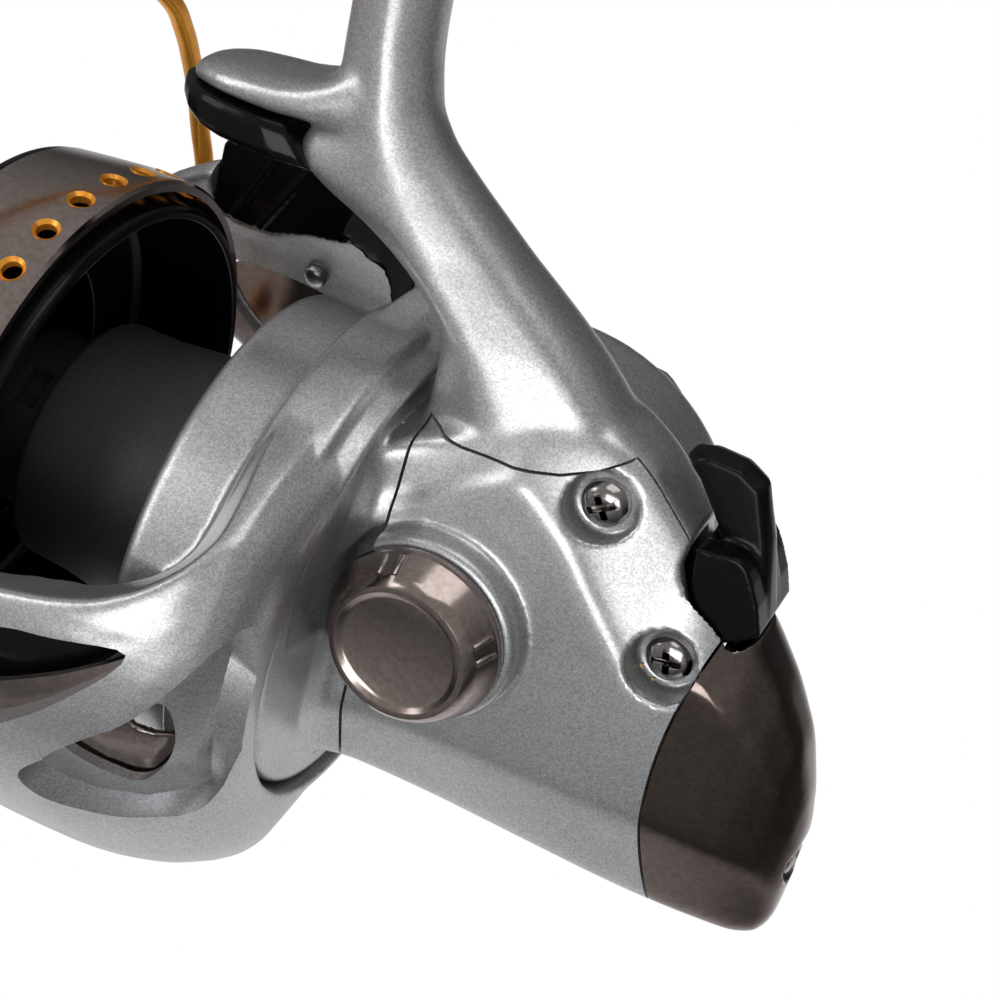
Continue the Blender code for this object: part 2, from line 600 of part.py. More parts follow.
boolean(cover, turned("boss_bore", [(0, 0), (0, bearing_room), (BOSS_TOP + 3, bearing_room),
                                    (BOSS_TOP + 3, 0)], spool_axis, None, "Y", (CRANK_X, 0, CRANK_Z), 28))
for name, (x, z), floor in (("top", TOP_SCREW, TOP_FLOOR), ("low", LOW_SCREW, LOW_FLOOR)):
    boolean(cover, rod("recess_" + name, RECESS_R, (x, floor, z), (x, 20, z), spool_axis, None))
    boolean(cover, rod("recess_hole_" + name, SCREW_R + GAP, (x, 0, z), (x, 20, z), spool_axis, None))
boolean(cover, lever_slot)
boolean(cover, lever_pin_hole)

# Tail cover
tail = loft("rear_cover", casing_rings(0.0, FLANGE_X + 1.3, REAR_END), spool_axis, GUNMETAL)
boolean(tail, tail_mask("tail_share", -SEAM / 2), "INTERSECT")
tail_hollow = loft("tail_hollow", casing_rings(WALL, -60.0, REAR_END + 3.5), spool_axis, None)
boolean(tail_hollow, rod("tail_boss", POST_R, (-95, 0, TAIL_SCREW_Z), (-50, 0, TAIL_SCREW_Z), spool_axis,
                         None))
boolean(tail_hollow, rod("guide_boss", GUIDE_R + 1.6, (-95, GUIDE_Y, GUIDE_Z),
                         (GUIDE_REAR + 3, GUIDE_Y, GUIDE_Z), spool_axis, None))
boolean(tail, tail_hollow)
boolean(tail, rod("guide_hole", GUIDE_R + GAP, (GUIDE_REAR - GAP, GUIDE_Y, GUIDE_Z),
                  (-60, GUIDE_Y, GUIDE_Z), spool_axis, None))
boolean(tail, osc_rooms[1])
boolean(tail, rod("tail_bore", SCREW_R + GAP, (-95, 0, TAIL_SCREW_Z), (-62, 0, TAIL_SCREW_Z), spool_axis,
                  None))
boolean(tail, rod("tail_recess", SCREW_HEAD_R + 0.4, (-95, 0, TAIL_SCREW_Z), (TAIL_FLOOR, 0, TAIL_SCREW_Z),
                  spool_axis, None))
boolean(tail, lever_slot)


def screw(name, seat, along, length, parent):
    """A cross-head screw: head outside its seat, shank along the given way."""
    axis = Vector(along)
    spot = Vector(seat)
    lift = spot - axis * GAP
    made = rod(name, SCREW_HEAD_R, lift - axis * 1.9, lift, parent, DARK_STEEL)
    boolean(made, rod(name + "_shank", SCREW_R, lift - axis * 0.5, lift + axis * length, parent, None,
                      12), "UNION")
    side = axis.orthogonal().normalized()
    for way in (side, axis.cross(side)):
        half = way * SCREW_HEAD_R * 0.62
        top = lift - axis * 1.9
        slot = rod("%s_slot_%d" % (name, len(cutters.objects)), 0.42, top - half, top + half, parent, None, 4)
        boolean(made, slot)
    return made


screw("cover_screw_top", (TOP_SCREW[0], TOP_FLOOR, TOP_SCREW[1]), (0, -1, 0), 9.0, spool_axis)
screw("cover_screw_low", (LOW_SCREW[0], LOW_FLOOR, LOW_SCREW[1]), (0, -1, 0), 8.0, spool_axis)
screw("rear_cover_screw", (TAIL_FLOOR, 0, TAIL_SCREW_Z), (1, 0, 0), 21.0, spool_axis)

# Finger rest insert, side cap and anti-reverse lever
loft("nose_insert", insert_rings(), spool_axis, BLACK)
turned("side_cap", [(BOSS_TOP + GAP, 8.6), (BOSS_TOP + GAP, CAP_R), (BOSS_TOP + GAP + 1.4, CAP_R),
                    (BOSS_TOP + CAP_HEIGHT - 1.0, CAP_FACE_R + 0.8), (BOSS_TOP + CAP_HEIGHT, CAP_FACE_R),
                    (BOSS_TOP + CAP_HEIGHT, CAP_FACE_R - 1.2),
                    (BOSS_TOP + CAP_HEIGHT - 0.6, CAP_FACE_R - 1.8), (BOSS_TOP + CAP_HEIGHT - 0.8, 0),
                    (BOSS_TOP + 3.4, 0), (BOSS_TOP + 3.0, 8.0)], spool_axis, GUNMETAL, "Y",
       (CRANK_X, 0, CRANK_Z), 28)
lever = loft("anti_reverse_lever", lever_rings(), lever_pivot, BLACK)
boolean(lever, rod("lever_trunnion", TRUNNION_R, (0, -7.9, 0), (0, 7.9, 0), lever_pivot, None, 16), "UNION")


def toothed(teeth, root, tip):
    """Outline of a straight-toothed wheel."""
    line = []
    for i in range(teeth):
        for part, radius in ((-0.34, root), (0.0, tip), (0.34, root)):
            angle = 2 * math.pi * (i + part) / teeth
            line.append((radius * math.cos(angle), radius * math.sin(angle)))
    return line


# Drive gear with its shaft and the small wheel that turns the oscillation gear
drive = prism("drive_gear", toothed(DRIVE_TEETH, DRIVE_GEAR_R - 1.7, DRIVE_GEAR_R), -12.0,
              -PINION_R - 0.6, crank_pivot, BRASS)
boolean(drive, turned("gear_dish", [(-8.8, 0), (-8.8, DRIVE_GEAR_R - 4.5), (0, DRIVE_GEAR_R - 4.5),
                                    (0, 0)], crank_pivot, None, "Y"))
boolean(drive, rod("drive_shaft", DRIVE_SHAFT_R, (0, -CASE_FAR, 0), (0, BOSS_TOP + 1.5, 0), crank_pivot,
                   None), "UNION")
boolean(drive, prism("osc_pinion", toothed(OSC_PINION_TEETH, OSC_PINION_R - 1.4, OSC_PINION_R - GAP / 2),
                     OSC_Y, OSC_Y + OSC_T, crank_pivot, None), "UNION")


def ring(name, inner, outer, low, high, parent, look, axis="X", at=(0, 0, 0), steps=24):
    """A plain turned ring."""
    return turned(name, [(low, inner), (low, outer), (high, outer), (high, inner)], parent, look, axis,
                  at, steps)


ring("drive_bearing_near", DRIVE_SHAFT_R + RUN, BEARING_R, BOSS_TOP - BEARING_T - GAP, BOSS_TOP - GAP,
     spool_axis, STEEL, "Y", crank_spot)
ring("drive_bearing_far", DRIVE_SHAFT_R + RUN, BEARING_R, -CASE_FAR, -CASE_FAR + BEARING_T, spool_axis,
     STEEL, "Y", crank_spot)
ring("pinion_bearing", PINION_NOSE_R + RUN, BEARING_R, PINION_BEARING_X, PINION_BEARING_X + BEARING_T,
     spool_axis, STEEL)
ring("one_way_clutch", PINION_NOSE_R + RUN, CLUTCH_R, CLUTCH_X, CLUTCH_X + CLUTCH_T, spool_axis, STEEL)

# Oscillation gear on its post, and the slider that carries the main shaft
osc_pivot = pivot("osc_pivot", (OSC_X, 0, OSC_Z), spool_axis)
osc = prism("oscillation_gear", toothed(OSC_TEETH, OSC_R - 1.4, OSC_R - GAP / 2), OSC_Y, OSC_Y + OSC_T,
            osc_pivot, BRASS)
boolean(osc, rod("osc_pin", 1.3, (STROKE / 2, OSC_Y + 0.5, 0), (STROKE / 2, SHAFT_R + 1.2, 0), osc_pivot,
                 None, 16), "UNION")
boolean(osc, rod("osc_bore", 2.3, (0, -2, 0), (0, 12, 0), osc_pivot, None, 20))
boolean(cover, rod("osc_post", 2.0, (OSC_X, OSC_Y - GAP, OSC_Z), (OSC_X, BODY_SIDE - 1, OSC_Z),
                   spool_axis, None, 20), "UNION")
SLIDER_X = OSC_X + STROKE / 2
slider = prism("slider", [(SLIDER_X - SLIDER_LEN / 2, -4.5), (SLIDER_X + SLIDER_LEN / 2, -4.5),
                          (SLIDER_X + SLIDER_LEN / 2, GUIDE_Z + 2.7),
                          (SLIDER_X - SLIDER_LEN / 2, GUIDE_Z + 2.7)], GUIDE_Y - 2.5, SHAFT_R + 0.9,
               shaft_pivot, BRASS)
boolean(slider, rod("slider_bore", SHAFT_R + GAP, (-90, 0, 0), (-30, 0, 0), shaft_pivot, None))
boolean(slider, rod("slider_guide_bore", GUIDE_R + GAP, (-90, GUIDE_Y, GUIDE_Z), (-30, GUIDE_Y, GUIDE_Z),
                    shaft_pivot, None, 16))
rod("slider_guide", GUIDE_R, (GUIDE_REAR, GUIDE_Y, GUIDE_Z), (SLIDER_X + SLIDER_LEN / 2 + 0.2, GUIDE_Y,
                                                            GUIDE_Z), spool_axis, STEEL, 16)
MAIN_SHAFT_END = LIP_X + 6.5
rod("main_shaft", SHAFT_R, (SLIDER_X - SLIDER_LEN / 2 - 1, 0, 0), (MAIN_SHAFT_END, 0, 0), shaft_pivot, STEEL)

# Pinion
pinion = prism("pinion_gear", toothed(PINION_TEETH, PINION_R - 1.1, PINION_R), PINION_BEARING_X - 8.0,
               PINION_BEARING_X - 0.8, rotor_pivot, BRASS, "X")
boolean(pinion, rod("pinion_tube", PINION_NOSE_R, (PINION_BEARING_X - 2, 0, 0), (7.5, 0, 0), rotor_pivot,
                    None), "UNION")
boolean(pinion, rod("pinion_bore", SHAFT_R + RUN, (-40, 0, 0), (20, 0, 0), rotor_pivot, None))

# Rotor: a stepped cup and two hollow arms that grow out of its rear ring
rotor = turned("rotor", [(0, PINION_NOSE_R + GAP), (0, RING1_R - 1.5), (-1.5, RING1_R), (-10, RING1_R),
                         (RING2_X, RING1_R + 0.9), (-11.5, RING2_R - 0.8), (-12.6, RING2_R),
                         (-19, RING2_R - 0.3), (-21, RING2_R - 1.9), (RIM_X, RIM_R + RIM_T),
                         (RIM_X, RIM_R), (-19, RIM_R - 0.6), (-6, RING1_R - 2.6),
                         (-FRONT_WALL, RING1_R - 4), (-FRONT_WALL, PINION_NOSE_R + GAP)], rotor_pivot,
               SILVER, steps=36)


def along(line, x):
    """Radius at x on a line of (x, radius) points that run forward."""
    for (x0, r0), (x1, r1) in zip(line, line[1:]):
        if x <= x1:
            return r0 + (r1 - r0) * (x - x0) / (x1 - x0)
    return line[-1][1]


ARM_OUT = [(-24, ARM_R - 7.4), (-19, ARM_R - 5.8), (-15, ARM_R - 3.4), (-10, ARM_R - 1.5), (-4, ARM_R - 0.3),
           (8, ARM_R + 0.4), (20, ARM_R + 0.2), (38, ARM_R - 1), (ARM_TIP, ARM_R - 2.6)]
ARM_IN = [(-20.6, RIM_R + 1), (-18.5, ARM_R - 12.2), (-14, ARM_R - 8.8), (-8, ARM_R - 6.7),
          (2, ARM_R - ARM_T), (20, ARM_R - ARM_T + 0.2), (38, ARM_R - ARM_T - 0.4),
          (ARM_TIP, ARM_R - ARM_T - 1)]


def arm_rings(way):
    """Sections of one rotor arm fanned about the spool axis, near side for way 1, far side for -1."""
    # angle off the arm's middle, front end, ridge radius, foot of the front wall, hollow share
    fan = [(0, ARM_TIP, 99, 0, 1), (7, ARM_TIP - 1.5, 99, 0, 1), (13, ARM_TIP - 8, 99, 0, 1),
           (18, 30, 99, 0, 1), (22, 21.5, 99, 0, 1), (25, 13, 99, -1, 0.95), (27, 7, ARM_R, -2, 0.7),
           (28.6, 1.5, ARM_R - 0.4, -7.5, 0.57), (31, -4.5, ARM_R - 0.9, -6, 0.12),
           (35, -10, ARM_R - 1.9, -8, 0), (40, -13.9, ARM_R - 3.3, -9.3, 0),
           (46, -16.2, ARM_R - 5.3, -9.6, 0), (53, -15.6, ARM_R - 8.2, -9.8, 0),
           (61, -14.2, ARM_R - 11, -9.9, 0), (70, -12.9, RING2_R + 0.6, -10, 0),
           (ARM_FLARE, -12.4, RING2_R - 0.5, -10, 0)]
    rings = []
    for angle, front, ridge, foot, hollow in [(-a, *rest) for a, *rest in reversed(fan)] + fan[1:]:
        grow = min(1.0, 1.6 * max(ridge - RING2_R, 0) / (ARM_R - RING2_R))
        rear = RIM_X + 0.6 - 0.75 * grow
        line = []
        for dx, tuck, rise in ((0, 3.5, 0), (0.05, 3.2, 0.277), (0.9, 2.9, 0.497), (2.7, 2.1, 0.624),
                               (4.8, 0.7, 0.646)):
            ring_r = RING2_R - tuck
            line.append((rear + dx, min(ring_r + grow * rise * (ARM_R - RING2_R), ridge)))
        start = line[-1][0]
        for share in (0.1, 0.25, 0.45, 0.7, 1.0):
            x = start + (front - start) * share
            line.append((x, min(RING2_R - 0.4 + grow * (along(ARM_OUT, x) - RING2_R + 0.4), ridge)))
        spots = [front, 2 + (front - 2) * 0.5, 2, -8, -14, -18.5, -20.6]
        solid = [(foot, RIM_R), (foot - 1.2, RIM_R - 0.3), (-13, RIM_R - 0.4), (-15, RIM_R - 0.4),
                 (-17, RIM_R - 0.3), (-19, RIM_R - 0.1), (-21.2, RIM_R + 0.3)]
        for x, (sx, sr) in zip(spots, solid):
            x = min(x, front)
            line.append((sx + hollow * (x - sx), sr + hollow * (along(ARM_IN, x) - sr)))
        turn = math.radians(angle)
        rings.append([(x, way * r * math.cos(turn), way * r * math.sin(turn)) for x, r in line])
    return rings


pocket_floor = [(x, RING2_R + share * (ARM_R - RING2_R)) for x, share in POCKET_FLOOR]
for name, way in (("near", 1), ("far", -1)):
    low, high = sorted(((RING2_R + 1) * way, (ARM_R + 9.4) * way))
    boolean(rotor, loft("arm_" + name, arm_rings(way), rotor_pivot, None), "UNION")
    boolean(rotor, prism("arm_window_" + name, [(x, z * way) for x, z in WINDOW], low, high, rotor_pivot,
                         None))
    pocket = prism("arm_pocket_" + name, [(x, z * way) for x, z in POCKET], low - 4, high + 4,
                   rotor_pivot, None)
    boolean(pocket, turned("pocket_room_" + name, pocket_floor + [(4, ARM_R + 11.4), (-26, ARM_R + 11.4)],
                           rotor_pivot, None, steps=48), "INTERSECT")
    boolean(rotor, pocket)
    boolean(rotor, prism("pocket_hole_" + name, [(x, z * way) for x, z in POCKET_HOLE], low, high,
                         rotor_pivot, None))
    boolean(rotor, rod("bail_bore_" + name, 2.5, (BAIL_X, (ARM_R - 20) * way, 0),
                       (BAIL_X, (ARM_R + 10) * way, 0), rotor_pivot, None, 20))

# Drum, nut and nut cover on the rotor's front
turned("rotor_drum", [(GAP, DRUM_R), (11.5, DRUM_R - 1), (18, DRUM_R - 1.9), (DRUM_END - 1, DRUM_TIP_R),
                      (DRUM_END, DRUM_TIP_R - 0.8), (DRUM_END, NECK_R - 3), (DRUM_END - 2, NECK_R - 3),
                      (DRUM_END - 2, DRUM_TIP_R - 2), (GAP, DRUM_R - 2)], rotor_pivot, CHARCOAL, steps=28)
NUT_R = 7.5
nut = prism("rotor_nut", arc(NUT_R, 0, 300, 6), GAP, 6.0, rotor_pivot, STEEL, "X")
boolean(nut, rod("nut_bore", PINION_NOSE_R + GAP, (-5, 0, 0), (20, 0, 0), rotor_pivot, None))
turned("nut_cover", [(DRUM_END + GAP, SHAFT_R + 1), (DRUM_END + GAP, NECK_R),
                     (DRUM_END + NECK_LEN - 0.8, NECK_R), (DRUM_END + NECK_LEN, NECK_R - 0.8),
                     (DRUM_END + NECK_LEN, SHAFT_R + 1)], rotor_pivot, CHARCOAL, steps=24)

for name, way, panel, liner in (("near", 1, PLATE, LINING_NEAR), ("far", -1, PANEL, LINING_FAR)):
    low, high = sorted((ARM_R * 0.6 * way, ARM_R * 1.2 * way))
    plate = ring("arm_plate_" + name, ARM_R - 4.4, ARM_R - 2.6, -12, 32, rotor_pivot, GUNMETAL, steps=36)
    boolean(plate, prism("plate_share_" + name, [(x, z * way) for x, z in panel], low, high, rotor_pivot,
                         None), "INTERSECT")
    lining = ring("arm_lining_" + name, SKIRT_R + ARM_CLEAR, SKIRT_R + ARM_CLEAR + LINING_T, -8, 34,
                  rotor_pivot, BLACK, steps=36)
    boolean(lining, prism("lining_share_" + name, [(x, z * way) for x, z in liner], low, high,
                          rotor_pivot, None), "INTERSECT")
    rivet_x, rivet_z = RIVET_AT
    rod("arm_rivet_" + name, 2.0, (rivet_x, (ARM_R - ARM_T - 1.8) * way, rivet_z * way),
        (rivet_x, (ARM_R - ARM_T - 0.6) * way, rivet_z * way), rotor_pivot, STEEL, 16)

# Bail: two pivot plates, wire, line roller and their screws
PLATE_Y = ARM_R - 0.2
PLATE_TOP = PLATE_Y + BAIL_PLATE_T
for name, way, top in (("near", 1, TAB_NEAR), ("far", -1, TAB_FAR)):
    span = sorted((PLATE_Y * way, PLATE_TOP * way))
    arm = prism("bail_arm_" + name, arc(6.5, 150, 390, 13) + [(4.6, top - 2), (3.2, top), (-1.5, top),
                                                            (-3.0, top - 2)], *span, bail_pivot, SILVER)
    boolean(arm, rod("bail_hole_" + name, 2.5, (0, (ARM_R - 10) * way, 0), (0, (ARM_R + 10) * way, 0),
                     bail_pivot, None, 20))
    pin = rod("bail_pivot_screw_" + name, 2.2, (BAIL_X, (ARM_R - ARM_T + 0.4) * way, 0),
              (BAIL_X, (PLATE_TOP + 1) * way, 0), rotor_pivot, DARK_STEEL, 16)
    boolean(pin, rod("pivot_head_" + name, 4.5, (BAIL_X, (PLATE_TOP + GAP) * way, 0),
                     (BAIL_X, (PLATE_TOP + 1.8) * way, 0), rotor_pivot, None), "UNION")
    if name == "near":
        boolean(arm, rod("roller_post", 1.6, (ROLLER_AT[0], PLATE_Y - 3.4, ROLLER_AT[1]),
                         (ROLLER_AT[0], PLATE_Y + 1, ROLLER_AT[1]), bail_pivot, None, 16), "UNION")
roller_spot = (ROLLER_AT[0], 0, ROLLER_AT[1])
turned("line_roller", [(PLATE_Y - GAP - ROLLER_LEN, 1.6 + RUN), (PLATE_Y - GAP - ROLLER_LEN, ROLLER_R),
                       (PLATE_Y - GAP - ROLLER_LEN / 2, ROLLER_R - 0.9), (PLATE_Y - GAP, ROLLER_R),
                       (PLATE_Y - GAP, 1.6 + RUN)], bail_pivot, GOLD, "Y", roller_spot, 24)
roller_end = PLATE_Y - 2 * GAP - ROLLER_LEN
roller_screw = rod("roller_screw", 3.2, (ROLLER_AT[0], roller_end - 1.5, ROLLER_AT[1]),
                   (ROLLER_AT[0], roller_end, ROLLER_AT[1]), bail_pivot, DARK_STEEL)
boolean(roller_screw, rod("roller_shank", 1.5, (ROLLER_AT[0], roller_end - 0.5, ROLLER_AT[1]),
                          (ROLLER_AT[0], PLATE_Y - 3.4 - GAP, ROLLER_AT[1]), bail_pivot, None, 16), "UNION")
WIRE_Y = PLATE_Y + BAIL_PLATE_T / 2
wire("bail_wire", [(0.9, -WIRE_Y, TAB_FAR + GAP), (0.9, -WIRE_Y, TAB_FAR + 2.5),
                   (2.0, -WIRE_Y - 0.3, 16.0), (2.4, -WIRE_Y + 0.2, 23.1), (2.7, -WIRE_Y + 1.3, 29.2),
                   (3.0, -WIRE_Y + 3, 35.6), (3.7, -WIRE_Y + 5.5, 41.7), (6.5, -WIRE_Y + 10.4, 47.8),
                   (12, -WIRE_Y * 0.6, 54), (16.6, -WIRE_Y * 0.31, 58.5), (18, WIRE_Y * 0.06, 60),
                   (15, WIRE_Y * 0.42, 56), (10, WIRE_Y * 0.69, 47), (5, WIRE_Y - 5.9, 36),
                   (1.8, WIRE_Y - 0.9, 27), (1, WIRE_Y, TAB_NEAR + 2 * GAP)], BAIL_WIRE_R, bail_pivot,
     GOLD)

# Spool with its long skirt, drilled ring, front lip and drag stack
SPOOL_WALL = SKIRT_FRONT + GAP
SPOOL_INNER = ARBOR_R - 5.5
HUB_BACK = LIP_X - 11.5
DRAG_FLOOR = HUB_BACK + 3.5
CAVITY_R = DRAG_R + 1.5
SHAFT_BORE = SHAFT_R + RUN
spool_pivot = pivot("spool_pivot", (0, 0, 0), shaft_pivot)
turned("spool_body", [(DRAG_FLOOR, SHAFT_BORE), (DRAG_FLOOR, CAVITY_R), (LIP_X, CAVITY_R),
                      (LIP_X, LIP_R - 2.5), (LIP_X - 3, LIP_R - 2.3), (LIP_X - 4.4, LIP_R - 4),
                      (LIP_X - 5, ARBOR_FRONT_R), (SPOOL_WALL + 2.6, ARBOR_R),
                      (SPOOL_WALL + 2.2, SKIRT_FRONT_R - 2), (SPOOL_WALL + 1.2, SKIRT_FRONT_R - 0.4),
                      (SPOOL_WALL, SKIRT_FRONT_R - 0.2), (SPOOL_WALL, LINER_R),
                      (LINER_REAR + 0.6, LINER_R), (LINER_REAR, LINER_R - 0.5),
                      (LINER_REAR, LINER_R - LINER_T), (SPOOL_WALL - 3, LINER_R - LINER_T),
                      (SPOOL_WALL - 2, LINER_R - 3), (SPOOL_WALL - 2, SPOOL_INNER),
                      (HUB_BACK - 11.5, SPOOL_INNER - 1.5), (HUB_BACK - 11, NECK_R + 2.2),
                      (HUB_BACK, NECK_R + 1.7), (HUB_BACK, SHAFT_BORE)], spool_pivot, BLACK, steps=32)
skirt = turned("spool_skirt", [(SKIRT_REAR, SKIRT_R - SKIRT_T), (SKIRT_REAR, SKIRT_R - 0.4),
                               (SKIRT_REAR + 0.5, SKIRT_R), (SKIRT_REAR + 6.5, SKIRT_R - 0.1),
                               (SKIRT_FRONT - 4, SKIRT_FRONT_R + 0.6), (SKIRT_FRONT, SKIRT_FRONT_R),
                               (SKIRT_FRONT, LINER_R + GAP), (SKIRT_REAR + 8, LINER_R + GAP),
                               (SKIRT_REAR + 7, SKIRT_R - SKIRT_T)], spool_pivot, GUNMETAL, steps=32)
holes = bmesh.new()
for i in range(HOLES):
    turn = Matrix.Rotation(2 * math.pi * (i + 0.28) / HOLES, 4, "X")
    bmesh.ops.create_cone(holes, cap_ends=True, segments=5, radius1=HOLE_R * MM, radius2=HOLE_R * MM,
                          depth=8 * MM, matrix=turn @ Matrix.Translation(Vector((HOLE_X, 0,
                                                            SKIRT_R)) * MM))
boolean(skirt, finish("skirt_drills", to_mesh("skirt_drills", holes), spool_pivot, None))
turned("spool_lip", [(LIP_X + GAP, CAVITY_R + 3), (LIP_X + GAP, LIP_R - 0.8), (LIP_X + 1.2, LIP_R),
                     (LIP_X + LIP_T - 0.6, LIP_R - 0.6), (LIP_X + LIP_T, LIP_R - 3),
                     (LIP_X + LIP_T - 1, CAVITY_R + 3)], spool_pivot, SILVER, steps=36)
WASHER_T = (LIP_X - DRAG_FLOOR) / 3 - GAP * 2
for number, look in enumerate((CARBON, STEEL, CARBON)):
    low = DRAG_FLOOR + GAP + number * (WASHER_T + GAP)
    ring("drag_washer_%d" % (number + 1), SHAFT_BORE, DRAG_R, low, low + WASHER_T, spool_pivot, look)
KNOB_X = LIP_X + 1.2
knob = turned("drag_knob", [(KNOB_X - 1.2, SHAFT_BORE), (KNOB_X - 1.2, 9), (KNOB_X, 9),
                            (KNOB_X, KNOB_R - 0.5), (KNOB_X + 0.6, KNOB_R), (KNOB_X + 5, KNOB_R),
                            (KNOB_X + 7, KNOB_R - 2), (KNOB_X + 8, KNOB_R - 5), (KNOB_X + 8.4, 0),
                            (MAIN_SHAFT_END + GAP, 0), (MAIN_SHAFT_END + GAP, SHAFT_BORE)], spool_pivot,
              GUNMETAL, steps=32)
boolean(knob, prism("knob_wing", [(-KNOB_R + 4, -2.6), (KNOB_R - 4, -2.6), (KNOB_R - 3, 0),
                                  (KNOB_R - 4, 2.6), (-KNOB_R + 4, 2.6), (-KNOB_R + 3, 0)], KNOB_X + 6.3,
                    KNOB_X + KNOB_LEN, spool_pivot, None, "X"), "UNION")

# Handle on the far side, pointing down
away = Vector((math.sin(math.radians(HANDLE_ANGLE)), 0, math.cos(math.radians(HANDLE_ANGLE))))
across = Vector((away.z, 0, -away.x))
turned("handle_shank", [(-CASE_FAR - GAP, 0), (-CASE_FAR - GAP, SHANK_R + 3.5),
                        (-CASE_FAR - 2.5, SHANK_R + 3.5), (-CASE_FAR - 5, SHANK_R),
                        (-HANDLE_OUT + HANDLE_T + GAP, SHANK_R - 1.2), (-HANDLE_OUT + HANDLE_T + GAP, 0)],
       crank_pivot, SILVER, "Y", (0, 0, 0), 24)
plan = [(-9.0, 5.0, 0.0), (-6.0, 8.6, 0.0), (0.0, 9.6, 0.0), (12.0, 8.4, 0.0),
        (30.0, 6.4, HANDLE_BEND * 0.25),
        (50.0, 5.6, HANDLE_BEND * 0.6), (66.0, 5.8, HANDLE_BEND), (HANDLE_LEN, 7.2, HANDLE_BEND),
        (HANDLE_LEN + 5, 5.6, HANDLE_BEND), (HANDLE_LEN + 7, 3.0, HANDLE_BEND)]
rings = []
for along, half, out in plan:
    middle = away * along - Vector((0, HANDLE_OUT + out, 0))
    near = middle + Vector((0, HANDLE_T, 0))
    rings.append([near + across * half * 0.8, near - across * half * 0.8,
                  near - across * half - Vector((0, 1, 0)), middle - across * half + Vector((0, 1, 0)),
                  middle - across * half * 0.8, middle + across * half * 0.8,
                  middle + across * half + Vector((0, 1, 0)), near + across * half - Vector((0, 1, 0))])
loft("handle_arm", rings, crank_pivot, SILVER)
knob_pivot = pivot("knob_pivot", away * HANDLE_LEN, crank_pivot)
POST_Y = -HANDLE_OUT - HANDLE_BEND - GAP
post = rod("knob_post", 3.0, (0, POST_Y - 2, 0), (0, POST_Y - GRIP_LEN + 3, 0), knob_pivot, STEEL)
boolean(post, rod("knob_post_foot", 6.0, (0, POST_Y, 0), (0, POST_Y - 2.6, 0), knob_pivot, None), "UNION")
GRIP_Y = POST_Y - 2.6 - GAP
turned("handle_knob", [(GRIP_Y, 3 + RUN), (GRIP_Y, 8), (GRIP_Y - 3, 9.5), (GRIP_Y - 9, 9.0),
                       (GRIP_Y - 14, 11), (GRIP_Y - 22, GRIP_R), (GRIP_Y - 29, GRIP_R),
                       (GRIP_Y - GRIP_LEN + 4, GRIP_R - 3), (GRIP_Y - GRIP_LEN, 7),
                       (GRIP_Y - GRIP_LEN, 3 + RUN)], knob_pivot, BLACK, "Y", (0, 0, 0), 24)
turned("knob_cap", [(GRIP_Y - GRIP_LEN - GAP, 0), (GRIP_Y - GRIP_LEN - GAP, 6.5),
                    (GRIP_Y - GRIP_LEN - 1.5, 6), (GRIP_Y - GRIP_LEN - 2.4, 3),
                    (GRIP_Y - GRIP_LEN - 2.4, 0)], knob_pivot, GUNMETAL, "Y", (0, 0, 0), 20)
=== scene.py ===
"""Studio view of a long-cast fixed-spool fishing reel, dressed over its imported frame."""
import json
import math

import bmesh
import bpy
from mathutils import Matrix, Vector


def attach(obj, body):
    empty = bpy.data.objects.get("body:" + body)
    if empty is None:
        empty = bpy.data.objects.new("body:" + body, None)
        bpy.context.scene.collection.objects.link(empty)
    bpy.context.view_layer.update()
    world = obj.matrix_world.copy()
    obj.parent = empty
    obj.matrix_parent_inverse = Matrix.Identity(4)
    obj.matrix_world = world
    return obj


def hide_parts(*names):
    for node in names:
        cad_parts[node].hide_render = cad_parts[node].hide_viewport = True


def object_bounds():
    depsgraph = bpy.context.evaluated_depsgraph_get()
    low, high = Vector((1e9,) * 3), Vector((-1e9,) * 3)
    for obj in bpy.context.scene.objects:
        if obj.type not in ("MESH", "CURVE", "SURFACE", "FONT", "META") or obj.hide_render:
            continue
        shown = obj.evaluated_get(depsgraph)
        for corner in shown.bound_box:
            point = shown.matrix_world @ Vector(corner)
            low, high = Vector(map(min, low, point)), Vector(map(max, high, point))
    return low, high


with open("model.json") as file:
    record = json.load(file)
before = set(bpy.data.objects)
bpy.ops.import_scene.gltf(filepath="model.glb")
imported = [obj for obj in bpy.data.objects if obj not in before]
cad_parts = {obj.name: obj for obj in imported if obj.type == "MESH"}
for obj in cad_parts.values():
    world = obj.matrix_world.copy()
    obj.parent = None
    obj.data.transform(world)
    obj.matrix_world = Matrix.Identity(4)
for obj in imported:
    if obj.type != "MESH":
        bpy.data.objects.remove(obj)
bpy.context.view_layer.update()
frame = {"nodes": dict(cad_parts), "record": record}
scene = bpy.context.scene

# Camera, at the photograph's angle and framing
AZIMUTH, ELEVATION, ROLL = (math.radians(a) for a in (196.3646, 32.0513, 15.8399))
CAMERA_AT = (-0.09696, 0.22572, 0.06907)
SENSOR_MM, LENS_MM = 36.0, 76.24
back = Vector((math.sin(AZIMUTH) * math.cos(ELEVATION), -math.cos(AZIMUTH) * math.cos(ELEVATION),
               math.sin(ELEVATION)))
level = Vector((0, 0, 1)).cross(back).normalized()
upright = back.cross(level)
right = math.cos(ROLL) * level + math.sin(ROLL) * upright
up = -math.sin(ROLL) * level + math.cos(ROLL) * upright
camera = bpy.data.objects.new("camera", bpy.data.cameras.new("camera"))
scene.collection.objects.link(camera)
view = Matrix((right, up, back)).transposed().to_4x4()
view.translation = CAMERA_AT
camera.matrix_world = view
camera.data.sensor_width = SENSOR_MM
camera.data.lens = LENS_MM
camera.data.clip_start = 0.005
scene.camera = camera
scene.view_settings.view_transform = "Standard"

